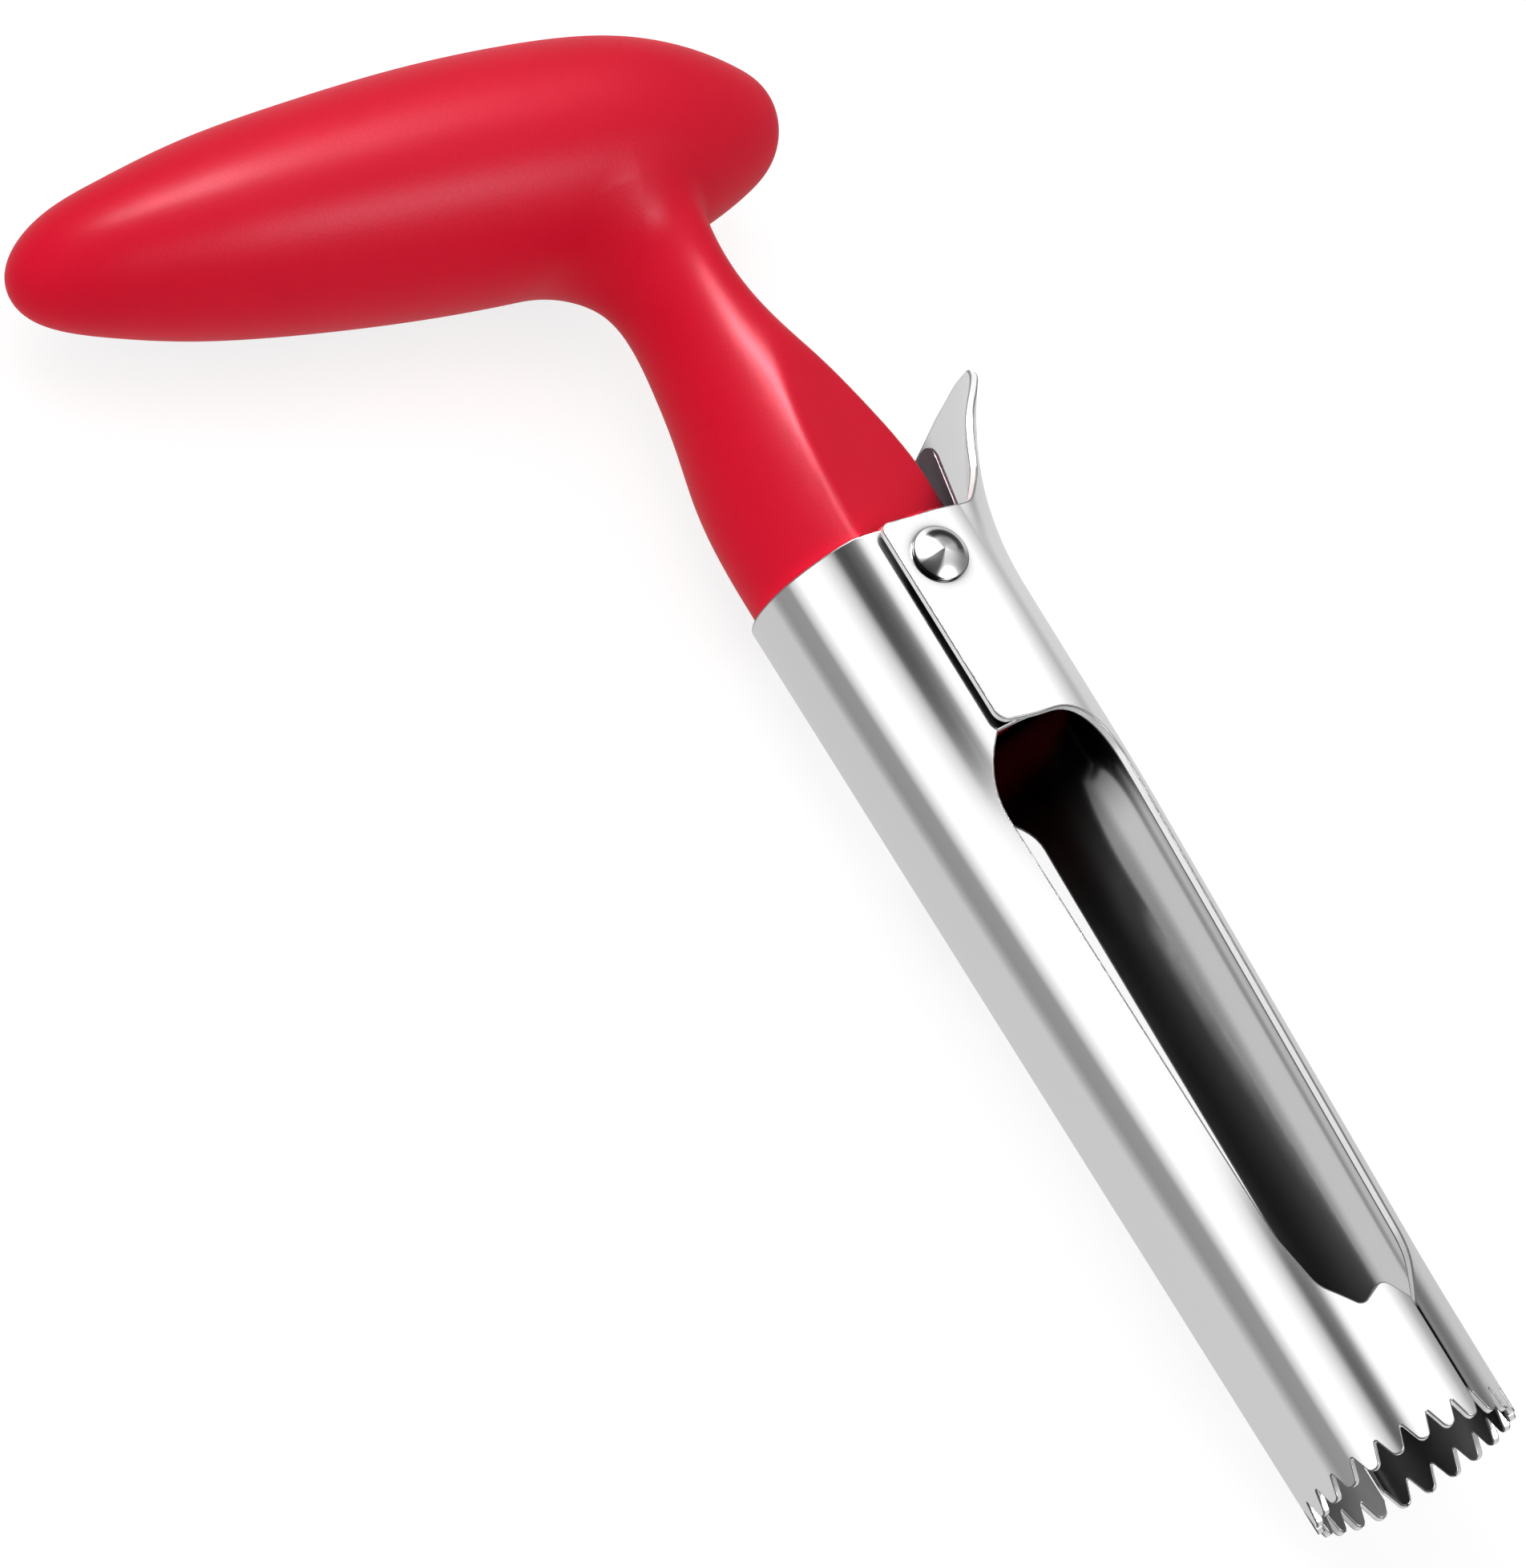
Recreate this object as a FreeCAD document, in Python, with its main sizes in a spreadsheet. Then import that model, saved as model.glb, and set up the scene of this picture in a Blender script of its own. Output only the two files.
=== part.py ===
import FreeCAD, Part
import math
import os

import Sketcher
from FreeCAD import Placement, Rotation, Vector

# Apple corer with a hinged half of its blade tube.
# Millimetres. While it is modelled, Y runs up the tube from the tips of the teeth, X points to the
# side of the thumb lever, and Z is the axis of the pivot rivet. The finished tool lies on its side,
# so Z is also up in the part's own frame. The last step moves the origin under its middle.

DRIVING_SIZES = {
    # Blade tube
    "blade_length": (116.0, "fixed half of the tube, from tooth tips to top edge"),
    "mouth_radius": (12.35, "outside radius at the teeth"),
    "collar_radius": (13.0, "outside radius of the fixed half at its top edge"),
    "sheet_metal": (0.9, "thickness of both halves"),
    "tooth_count": (24, "teeth round the mouth"),
    "tooth_angle": (19.5, "half angle of a gap between two teeth, degrees"),
    "tip_radius": (0.8, "rounding of a tooth's tip"),
    "tip_land": (0.05, "half of the flat end of a tooth"),
    "gullet_radius": (0.15, "rounding at the bottom of a gap"),
    # Split line and windows, seen from the side
    "seam_offset": (2.8, "split line of the mouth, in front of the tube axis"),
    "seam_gap": (0.4, "between the two halves along the split line"),
    "fixed_seam_height": (14.9, "top of the fixed half's edge on the split line"),
    "lever_seam_height": (14.2, "top of the lever half's edge on the split line"),
    "seam_corner": (0.4, "rounding where the split line opens into the window"),
    "fixed_edge": (7.6, "edge of the fixed half at its upper end, behind the axis"),
    "fixed_low_edge": (6.6, "edge of the fixed half at its lower end, behind the axis"),
    "fixed_low_bend": (22.6, "height where that edge turns to the split line"),
    "dip_offset": (3.1, "lowest point of the window, behind the axis"),
    "dip_height": (16.0, "lowest point of the window"),
    "bump_offset": (0.5, "rise beside the split line, in front of the axis"),
    "bump_height": (17.8, "rise beside the split line"),
    "dip_radius": (0.9, "rounding of the dip"),
    "bump_radius": (1.3, "rounding of the rise"),
    "long_radius": (12.0, "long roundings of the fixed half's edge"),
    "lever_edge": (8.5, "edge of the lever half at its upper end, in front of the axis"),
    "lever_low_edge": (7.6, "edge of the lever half at its lower end, in front of the axis"),
    "lever_low_bend": (20.7, "height where that edge turns to the split line"),
    "lever_low_radius": (8.0, "rounding of that turn"),
    "fixed_high_bend": (30.0, "turn of the fixed half's edge, below the top edge"),
    "window_top": (26.0, "window's upper edge, below the top edge"),
    "window_top_slope": (1.3, "how much lower that edge is at the front"),
    "window_top_radius": (6.5, "front upper corner of the window"),
    # Lever half
    "lever_drop": (1.0, "ears' top edge, below the fixed half's"),
    "ear_gap": (0.5, "between an ear and the fixed half"),
    "ear_reach": (4.4, "flat flank of an ear, behind the axis"),
    "ear_corner": (1.6, "rounding of the ear's rear corners"),
    "under_ear_reach": (3.0, "fixed half under the ears, in front of the axis"),
    "step_start": (18.0, "height where the lever half starts to widen"),
    "step_end": (34.0, "where it has reached the ears' radius, below the top edge"),
    "step_radius": (350.0, "rounding at both ends of that step"),
    # Thumb tab, flared out of the lever half's front
    "flare_drop": (12.5, "start of the flare, below the top edge"),
    "flare_side": (6.8, "where the flare ends beside the ears, in front of the axis"),
    "flare_bend": (36.0, "outside radius of its lower bend"),
    "flare_lean": (25.5, "lean at the end of the lower bend, degrees"),
    "tip_bend": (50.0, "outside radius of its upper bend"),
    "tip_lean": (46.0, "lean at the end of the upper bend, degrees"),
    "tab_rise": (14.6, "tip of the tab, above the top edge"),
    "tab_root_half": (7.2, "half width at the root"),
    "tab_tip_half": (6.0, "half width at the tip"),
    "tab_tip_corner": (5.6, "rounding of the tip"),
    "tab_fillet": (2.4, "rounding between the tab and the ears' top edge"),
    # Pivot rivet
    "pivot_drop": (6.2, "rivet axis, below the top edge"),
    "barrel_radius": (2.0, "tubular half of the rivet"),
    "shank_radius": (1.2, "solid half of the rivet"),
    "shank_gap": (0.02, "solid half in the tubular half"),
    "shank_end_gap": (1.0, "between the solid half's end and the bottom of its hole"),
    "pivot_gap": (0.05, "rivet in its holes"),
    "head_radius": (3.25, "rivet heads"),
    "head_rim": (0.5, "straight rim of a head"),
    "head_dome": (0.8, "rise of a head above its rim"),
    "head_gap": (0.05, "between a head and the ear"),
    # Return spring
    "leaf": (0.5, "thickness of the spring leaf"),
    "leaf_half_width": (2.6, "half width of the leaf"),
    "leaf_corner": (2.3, "rounding of the leaf's free end"),
    "leaf_foot": (3.2, "foot that hooks into the spigot"),
    "leaf_foot_rise": (2.6, "underside of the foot, above the spigot's lower end"),
    "leaf_bend_drop": (13.2, "where the leaf starts to lean out, below the top edge"),
    "leaf_rise": (9.4, "free end of the leaf, above the top edge"),
    "leaf_lean": (11.3, "lean of the leaf, degrees"),
    "leaf_depth": (0.6, "straight part of the leaf, inside the spigot's round"),
    "leaf_slot_gap": (0.1, "leaf in its slot"),
    "leaf_recess": (0.35, "room behind the leaf"),
    # Handle
    "spigot_gap": (0.05, "between the spigot and the fixed half"),
    "spigot_length": (21.0, "spigot below the top edge"),
    "cheek_turn": (21.8, "turn of the flat cheeks towards the lever, degrees"),
    "cheek_tilt": (2.3, "lean of the cheeks, degrees"),
    "cheek_depth": (3.8, "cheek below the neck's round at the collar"),
    "cheek_rise": (34.0, "length of the cheeks along the neck"),
    "neck_length": (46.0, "neck above the top edge, with its end inside the grip"),
    "grip_rise": (53.4, "middle of the grip over the tube axis, above the top edge"),
    "grip_slope": (8.9, "rise of the grip away from the lever, degrees"),
    "grip_half_height": (13.0, "half height of the grip at its thickest"),
    "grip_half_width": (16.35, "half width of the grip at its widest"),
    "grip_front": (20.6, "reach of the grip past the tube axis, on the lever side"),
    "grip_rear": (74.4, "reach of the grip past the tube axis, on the other side"),
}

# Sections of the grip: place as a share of its reach, negative on the lever side, height of the
# middle line and half height as shares of the grip's half height.
GRIP_SHAPE = (
    (-1.0, -0.045, 0.13),
    (-0.94, -0.04, 0.34),
    (-0.80, -0.03, 0.52),
    (-0.53, -0.01, 0.72),
    (-0.10, 0.0, 0.92),
    (0.13, 0.01, 1.0),
    (0.32, 0.02, 0.99),
    (0.51, 0.02, 0.915),
    (0.70, 0.02, 0.785),
    (0.83, 0.015, 0.63),
    (0.93, 0.01, 0.46),
    (0.98, 0.0, 0.28),
    (1.0, 0.0, 0.115),
)

# Sections of the neck: height as a share of its length, then place along X, half depth and half
# width as shares of the spigot's radius.
NECK_SHAPE = (
    (0.174, -0.008, 0.979, 0.992),
    (0.326, -0.042, 0.866, 0.946),
    (0.478, -0.059, 0.703, 0.837),
    (0.609, -0.092, 0.569, 0.753),
    (0.739, -0.109, 0.485, 0.720),
    (0.837, -0.134, 0.519, 0.745),
    (0.913, -0.200, 0.636, 0.820),
    (1.0, -0.285, 0.787, 0.937),
)

# Lean of the thumb tab's sections, in degrees.
LOWER_BEND_LEANS = (0, 7, 14, 20)
UPPER_BEND_LEANS = (32, 39)


class Size:
    """A driving size, or what is worked out from several: its number and its expression."""

    def __init__(self, number, text):
        self.number = number
        self.text = text

    def __add__(self, other):
        other = as_size(other)
        return Size(self.number + other.number, f"({self.text} + {other.text})")

    def __sub__(self, other):
        other = as_size(other)
        return Size(self.number - other.number, f"({self.text} - {other.text})")

    def __mul__(self, other):
        other = as_size(other)
        return Size(self.number * other.number, f"({self.text} * {other.text})")

    def __truediv__(self, other):
        other = as_size(other)
        return Size(self.number / other.number, f"({self.text} / {other.text})")

    def __rsub__(self, other):
        return as_size(other) - self

    def __rtruediv__(self, other):
        return as_size(other) / self

    def __neg__(self):
        return Size(-self.number, f"(0 - {self.text})")

    __radd__ = __add__
    __rmul__ = __mul__


def as_size(value):
    return value if isinstance(value, Size) else Size(float(value), repr(float(value)))


def sine(angle):
    return Size(math.sin(math.radians(angle.number)), f"sin({angle.text} * 1 deg)")


def cosine(angle):
    return Size(math.cos(math.radians(angle.number)), f"cos({angle.text} * 1 deg)")


def tangent(angle):
    return Size(math.tan(math.radians(angle.number)), f"tan({angle.text} * 1 deg)")


def bind(feature, name, value):
    """Sets a property from the sheet."""
    feature.setExpression(name, as_size(value).text)


class Sizes:
    """The sheet's cells by their names."""

    def __init__(self, document, table):
        self.cells = {}
        sheet = document.addObject("Spreadsheet::Sheet", "Sizes")
        for row, (name, (number, meaning)) in enumerate(table.items(), start=1):
            sheet.set(f"A{row}", str(number))
            sheet.setAlias(f"A{row}", name)
            sheet.set(f"B{row}", meaning)
            self.cells[name] = Size(number, f"Sizes.{name}")
        document.recompute()

    def __getattr__(self, name):
        return self.cells[name]


doc = FreeCAD.newDocument("AppleCorer")
size = Sizes(doc, DRIVING_SIZES)

# Sizes that several pieces share
collar_inner = size.collar_radius - size.sheet_metal
mouth_inner = size.mouth_radius - size.sheet_metal
ear_inner = size.collar_radius + size.ear_gap
ear_radius = ear_inner + size.sheet_metal
lever_top = size.blade_length - size.lever_drop
pivot_height = size.blade_length - size.pivot_drop
spigot_radius = collar_inner - size.spigot_gap
taper = (size.collar_radius - size.mouth_radius) / size.blade_length
margin = as_size(4)
far_side = as_size(40)


def origin_plane(body, role):
    return next(feature for feature in body.Origin.OriginFeatures if feature.Role == role)


def new_sketch(body, name, role):
    sketch = body.newObject("Sketcher::SketchObject", name)
    sketch.AttachmentSupport = [(origin_plane(body, role), "")]
    sketch.MapMode = "FlatFace"
    return sketch


def fix_point(sketch, geometry, end, x, y):
    """Holds a point of a sketch at two sizes."""
    for kind, value in (("DistanceX", x), ("DistanceY", y)):
        constraint = Sketcher.Constraint(kind, -1, 1, geometry, end, value.number)
        index = sketch.addConstraint(constraint)
        bind(sketch, f"Constraints[{index}]", value)


def corner_arc(before, corner, after, radius):
    """Centre and ends of the arc that rounds a corner."""
    towards_before = (before - corner).normalize()
    towards_after = (after - corner).normalize()
    half = towards_before.getAngle(towards_after) / 2
    middle = (towards_before + towards_after).normalize()
    centre = corner + middle * (radius / math.sin(half))
    reach = radius / math.tan(half)
    return centre, corner + towards_before * reach, corner + towards_after * reach


def add_outline(sketch, corners):
    """Draws a closed outline through corners (x, y) or (x, y, rounding), all held by sizes."""
    corners = [(as_size(c[0]), as_size(c[1]), as_size(c[2]) if len(c) > 2 else None) for c in corners]
    points = [Vector(x.number, y.number, 0) for x, y, _ in corners]
    count = len(corners)
    arcs = {}
    for index, (_, _, rounding) in enumerate(corners):
        if rounding is not None:
            before = points[index - 1]
            after = points[(index + 1) % count]
            arcs[index] = corner_arc(before, points[index], after, rounding.number)

    lines = []
    for index in range(count):
        following = (index + 1) % count
        start = arcs[index][2] if index in arcs else points[index]
        end = arcs[following][1] if following in arcs else points[following]
        lines.append(sketch.addGeometry(Part.LineSegment(start, end), False))

    for index, (x, y, rounding) in enumerate(corners):
        incoming, outgoing = lines[index - 1], lines[index]
        if rounding is None:
            sketch.addConstraint(Sketcher.Constraint("Coincident", incoming, 2, outgoing, 1))
            fix_point(sketch, outgoing, 1, x, y)
            continue
        centre, start, end = arcs[index]
        towards = points[index] - points[index - 1]
        away = points[(index + 1) % count] - points[index]
        turns_left = towards.cross(away).z > 0
        first, last = (start, end) if turns_left else (end, start)
        angles = [math.atan2(p.y - centre.y, p.x - centre.x) for p in (first, last)]
        circle = Part.Circle(centre, Vector(0, 0, 1), rounding.number)
        arc = sketch.addGeometry(Part.ArcOfCircle(circle, *angles), False)
        start_end, end_end = (1, 2) if turns_left else (2, 1)
        sketch.addConstraint(Sketcher.Constraint("Tangent", incoming, 2, arc, start_end))
        sketch.addConstraint(Sketcher.Constraint("Tangent", arc, end_end, outgoing, 1))
        radius = sketch.addConstraint(Sketcher.Constraint("Radius", arc, rounding.number))
        bind(sketch, f"Constraints[{radius}]", rounding)
        point = sketch.addGeometry(Part.Point(points[index]), True)
        fix_point(sketch, point, 1, x, y)
        sketch.addConstraint(Sketcher.Constraint("PointOnObject", point, 1, incoming))
        sketch.addConstraint(Sketcher.Constraint("PointOnObject", point, 1, outgoing))


def outlined_sketch(body, name, role, *outlines):
    sketch = new_sketch(body, name, role)
    for corners in outlines:
        add_outline(sketch, corners)
    return sketch


def circle_sketch(body, name, role, x, y, radius):
    sketch = new_sketch(body, name, role)
    centre = Vector(as_size(x).number, as_size(y).number, 0)
    circle = sketch.addGeometry(Part.Circle(centre, Vector(0, 0, 1), radius.number), False)
    fix_point(sketch, circle, 3, as_size(x), as_size(y))
    index = sketch.addConstraint(Sketcher.Constraint("Radius", circle, radius.number))
    bind(sketch, f"Constraints[{index}]", radius)
    return sketch


def revolve(name, sketch):
    """Turns a sketch round its own vertical axis."""
    feature = sketch.getParentGeoFeatureGroup().newObject("PartDesign::Revolution", name)
    feature.Profile = sketch
    feature.ReferenceAxis = (sketch, ["V_Axis"])
    feature.Angle = 360
    return feature


def pad(body, name, sketch, length, both_sides=False):
    feature = body.newObject("PartDesign::Pad", name)
    feature.Profile = sketch
    feature.SideType = "Symmetric" if both_sides else "One side"
    bind(feature, "Length", length)
    return feature


def pocket(body, name, sketch, length, both_sides=False, reverse=False):
    """Cuts a sketch through the body, and makes sure that it took something away."""
    doc.recompute()
    before = body.Shape.Volume
    feature = body.newObject("PartDesign::Pocket", name)
    feature.Profile = sketch
    feature.SideType = "Symmetric" if both_sides else "One side"
    feature.Reversed = reverse
    bind(feature, "Length", length)
    doc.recompute()
    if body.Shape.Volume > before - 0.01:
        raise RuntimeError(f"{name} cuts nothing")
    return feature


def new_body(name):
    body = doc.addObject("PartDesign::Body", name)
    body.Label = name
    return body


# Local X, Y and Z of what is laid across the tube, across the grip, and facing the lever side
ACROSS_TUBE = Rotation(Vector(0, 0, 1), Vector(1, 0, 0), Vector(0, 1, 0), "XYZ")
ACROSS_GRIP = Rotation(Vector(0, 0, 1), Vector(0, 1, 0), Vector(-1, 0, 0), "XYZ")
FACING_LEVER = Rotation(Vector(0, 1, 0), Vector(0, 0, 1), Vector(1, 0, 0), "XYZ")


def ellipse_section(name, centre, half_long, half_short, turned):
    """One section of a loft, with its long half axis along Z."""
    section = doc.addObject("Part::Ellipse", name)
    bind(section, "MajorRadius", half_long)
    bind(section, "MinorRadius", half_short)
    section.Placement = Placement(Vector(), turned)
    for axis, value in zip("xyz", centre):
        bind(section, f"Placement.Base.{axis}", value)
    return section


def loft(name, sections):
    feature = doc.addObject("Part::Loft", name)
    feature.Sections = sections
    feature.Solid = True
    feature.Ruled = False
    return feature


def cut_teeth(body):
    """Cuts the gaps between the teeth all round the mouth of a full tube."""
    half_pitch = size.mouth_radius * sine(180 / size.tooth_count)
    flank_turn = (90 - size.tooth_angle) / 2
    half_gap = half_pitch - size.tip_land - size.tip_radius * tangent(flank_turn)
    corners = (
        (-half_pitch, -margin),
        (half_pitch, -margin),
        (half_pitch, 0),
        (half_gap, 0, size.tip_radius),
        (0, half_gap / tangent(size.tooth_angle), size.gullet_radius),
        (-half_gap, 0, size.tip_radius),
        (-half_pitch, 0),
    )
    sketch = outlined_sketch(body, f"{body.Name}_gap_outline", "XY_Plane", corners)
    bind(sketch, "AttachmentOffset.Base.z", mouth_inner - size.sheet_metal / 2)
    gap = pocket(body, f"{body.Name}_gap", sketch, size.sheet_metal * 2, reverse=True)
    pattern = body.newObject("PartDesign::PolarPattern", f"{body.Name}_teeth")
    pattern.Originals = [gap]
    pattern.Axis = (origin_plane(body, "Y_Axis"), [""])
    pattern.Angle = 360
    bind(pattern, "Occurrences", size.tooth_count)
    body.Tip = pattern
    doc.recompute()


def bore_pivot(body):
    sketch = circle_sketch(body, f"{body.Name}_bore_circle", "XY_Plane", 0, pivot_height,
                           size.barrel_radius + size.pivot_gap)
    pocket(body, f"{body.Name}_bore", sketch, far_side, both_sides=True)


def make_fixed_blade():
    """Rear half of the tube, with the mouth's rear teeth and the windows' rear edges."""
    body = new_body("fixed_blade")
    wall = outlined_sketch(body, "fixed_wall_outline", "XY_Plane", (
        (mouth_inner, 0),
        (size.mouth_radius, 0),
        (size.collar_radius, size.blade_length),
        (collar_inner, size.blade_length),
    ))
    revolve("fixed_wall", wall)
    cut_teeth(body)
    window_top = size.blade_length - size.window_top
    front = outlined_sketch(body, "fixed_front_outline", "XY_Plane", (
        (size.seam_offset, -margin),
        (far_side, -margin),
        (far_side, size.blade_length + margin),
        (size.under_ear_reach, size.blade_length + margin),
        (size.under_ear_reach, window_top),
        (-size.ear_reach + 0.4, window_top),
        (-size.fixed_edge, size.blade_length - size.fixed_high_bend, size.long_radius),
        (-size.fixed_low_edge, size.fixed_low_bend, size.long_radius),
        (-size.dip_offset, size.dip_height, size.dip_radius),
        (size.bump_offset, size.bump_height, size.bump_radius),
        (size.seam_offset, size.fixed_seam_height, size.seam_corner),
    ))
    pocket(body, "fixed_front", front, far_side, both_sides=True)
    bore_pivot(body)
    return body


def make_lever_tube():
    """Front half of the tube with its ears, open where the flared front goes."""
    body = new_body("lever_tube")
    step_top = size.blade_length - size.step_end
    step_foot = size.mouth_radius + taper * size.step_start
    wall = outlined_sketch(body, "lever_wall_outline", "XY_Plane", (
        (mouth_inner, 0),
        (size.mouth_radius, 0),
        (step_foot, size.step_start, size.step_radius),
        (ear_radius, step_top, size.step_radius),
        (ear_radius, lever_top),
        (ear_inner, lever_top),
        (ear_inner, step_top, size.step_radius),
        (step_foot - size.sheet_metal, size.step_start, size.step_radius),
    ))
    revolve("lever_wall", wall)
    cut_teeth(body)

    window_top = size.blade_length - size.window_top
    lever_seam = size.seam_offset + size.seam_gap
    rear = outlined_sketch(body, "lever_rear_outline", "XY_Plane", (
        (lever_seam, -margin),
        (lever_seam, size.lever_seam_height, size.seam_corner),
        (size.lever_low_edge, size.lever_low_bend, size.lever_low_radius),
        (size.lever_edge, window_top - size.window_top_slope, size.window_top_radius),
        (0, window_top),
        (0, lever_top + margin),
        (-far_side, lever_top + margin),
        (-far_side, -margin),
    ))
    pocket(body, "lever_rear", rear, far_side, both_sides=True)

    flank = outlined_sketch(body, "ear_flank_outline", "XY_Plane", (
        (0, window_top),
        (0, lever_top),
        (-size.ear_reach, lever_top, size.ear_corner),
        (-size.ear_reach, window_top, size.ear_corner),
    ))
    pad(body, "ear_flanks", flank, ear_radius * 2, both_sides=True)
    room = outlined_sketch(body, "ear_room_outline", "XY_Plane", (
        (0, window_top - margin),
        (0, lever_top + margin),
        (-size.ear_reach - margin, lever_top + margin),
        (-size.ear_reach - margin, window_top - margin),
    ))
    pocket(body, "ear_room", room, ear_inner * 2, both_sides=True)

    front = outlined_sketch(body, "lever_front_outline", "XY_Plane", (
        (size.flare_side, size.blade_length - size.flare_drop),
        (far_side, size.blade_length - size.flare_drop),
        (far_side, lever_top + margin),
        (size.flare_side, lever_top + margin),
    ))
    pocket(body, "lever_front", front, far_side, both_sides=True)
    bore_pivot(body)
    return body


def circle_section(name, front, height, start_radius):
    """Circle that passes through the two side edges of the flare and a point in front."""
    centre = (front * front - start_radius * start_radius) / ((front - size.flare_side) * 2)
    radius = front - centre
    return ellipse_section(name, (centre, height, 0), radius, radius, ACROSS_TUBE)


def make_flare():
    """Flared front of the lever half, from below the top edge to the tip of the thumb tab."""
    foot = size.blade_length - size.flare_drop
    bends = [(0, as_size(lean)) for lean in LOWER_BEND_LEANS]
    bends += [(0, size.flare_lean)]
    bends += [(1, as_size(lean)) for lean in UPPER_BEND_LEANS]
    bends += [(1, size.tip_lean)]
    extra = size.tip_bend - size.flare_bend
    outside = []
    inside = []
    for index, (bend, lean) in enumerate(bends):
        front = ear_radius + size.flare_bend * (1 - cosine(lean))
        height = foot + size.flare_bend * sine(lean)
        if bend:
            front = front + extra * (cosine(size.flare_lean) - cosine(lean))
            height = height + extra * (sine(lean) - sine(size.flare_lean))
        outside.append(circle_section(f"flare_outside_{index}", front, height, ear_radius))
        front = front - size.sheet_metal * cosine(lean)
        height = height + size.sheet_metal * sine(lean)
        inside.append(circle_section(f"flare_inside_{index}", front, height, ear_inner))
    sheet = doc.addObject("Part::Cut", "flare_sheet")
    sheet.Base = loft("flare_outside", outside)
    sheet.Tool = loft("flare_inside", inside)

    outline = doc.addObject("Sketcher::SketchObject", "tab_outline")
    tip = size.blade_length + size.tab_rise
    add_outline(outline, (
        (foot, -far_side),
        (lever_top, -far_side),
        (lever_top, -size.tab_root_half, size.tab_fillet),
        (tip, -size.tab_tip_half, size.tab_tip_corner),
        (tip, size.tab_tip_half, size.tab_tip_corner),
        (lever_top, size.tab_root_half, size.tab_fillet),
        (lever_top, far_side),
        (foot, far_side),
    ))
    outline.Placement = Placement(Vector(), FACING_LEVER)
    bind(outline, "Placement.Base.x", size.flare_side)
    front = doc.addObject("Part::Extrusion", "tab_room")
    front.Base = outline
    front.DirMode = "Normal"
    front.Solid = True
    bind(front, "LengthFwd", far_side)
    flare = doc.addObject("Part::Common", "lever_flare")
    flare.Base = sheet
    flare.Tool = front
    return flare


def make_lever_blade():
    """Hinged half of the tube, one piece of sheet with the thumb tab."""
    lever = doc.addObject("Part::Fuse", "lever_blade")
    lever.Base = make_lever_tube()
    lever.Tool = make_flare()
    lever.Label = "lever_blade"
    return lever


def head_profile(radius, reach, sign):
    """Half section of a rivet head on the outside of an ear, from its shank outwards."""
    seat = ear_radius + size.head_gap
    dome_shoulder = size.head_radius * 0.55
    return (
        (radius, sign * seat),
        (size.head_radius, sign * seat),
        (size.head_radius, sign * (seat + size.head_rim), reach),
        (dome_shoulder, sign * (seat + size.head_rim + size.head_dome), size.head_radius * 0.8),
        (0, sign * (seat + size.head_rim + size.head_dome)),
    )


def make_rivet_barrel():
    """Tubular half of the pivot rivet, with the head that faces up."""
    body = new_body("rivet_barrel")
    bore = size.shank_radius + size.shank_gap
    bottom = -ear_radius
    roof = ear_radius - size.head_rim
    outline = outlined_sketch(body, "barrel_outline", "XZ_Plane", (
        (bore, bottom),
        (size.barrel_radius, bottom),
        *head_profile(size.barrel_radius, size.head_rim * 0.6, 1),
        (0, roof),
        (bore, roof),
    ))
    bind(outline, "AttachmentOffset.Base.z", -pivot_height)
    revolve("barrel_turned", outline)
    return body


def make_rivet_pin():
    """Solid half of the pivot rivet, pressed into the barrel from below."""
    body = new_body("rivet_pin")
    roof = ear_radius - size.head_rim
    outline = outlined_sketch(body, "pin_outline", "XZ_Plane", (
        (0, roof - size.shank_end_gap),
        (size.shank_radius, roof - size.shank_end_gap),
        *head_profile(size.shank_radius, size.head_rim * 0.6, -1),
    ))
    bind(outline, "AttachmentOffset.Base.z", -pivot_height)
    revolve("pin_turned", outline)
    return body


# The leaf stands in the spigot's front, leans out towards the lever half and ends free.
leaf_inner = spigot_radius - size.leaf_depth - size.leaf
leaf_outer = leaf_inner + size.leaf
leaf_bend = size.blade_length - size.leaf_bend_drop
leaf_foot_bottom = size.blade_length - size.spigot_length + size.leaf_foot_rise
leaf_slope = tangent(size.leaf_lean)


def make_return_spring():
    """Bent leaf of spring steel between the spigot and the lever half."""
    body = new_body("return_spring")
    tip = size.blade_length + size.leaf_rise
    tip_shift = leaf_slope * (tip - leaf_bend)
    bend = size.leaf * 1.2
    outline = outlined_sketch(body, "leaf_outline", "XY_Plane", (
        (leaf_outer, leaf_foot_bottom, bend + size.leaf),
        (leaf_outer, leaf_bend, size.leaf * 8),
        (leaf_outer + tip_shift, tip),
        (leaf_inner + tip_shift, tip),
        (leaf_inner, leaf_bend, size.leaf * 9),
        (leaf_inner, leaf_foot_bottom + size.leaf, bend),
        (leaf_inner - size.leaf_foot, leaf_foot_bottom + size.leaf),
        (leaf_inner - size.leaf_foot, leaf_foot_bottom),
    ))
    pad(body, "leaf_strip", outline, size.leaf_half_width * 2, both_sides=True)
    trim = outlined_sketch(body, "leaf_tip_outline", "YZ_Plane", (
        (tip - size.leaf_corner - 1, size.leaf_half_width),
        (tip, size.leaf_half_width, size.leaf_corner),
        (tip, -size.leaf_half_width, size.leaf_corner),
        (tip - size.leaf_corner - 1, -size.leaf_half_width),
        (tip - size.leaf_corner - 1, -far_side),
        (tip + margin, -far_side),
        (tip + margin, far_side),
        (tip - size.leaf_corner - 1, far_side),
    ))
    pocket(body, "leaf_tip", trim, far_side, reverse=True)
    return body


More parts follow.
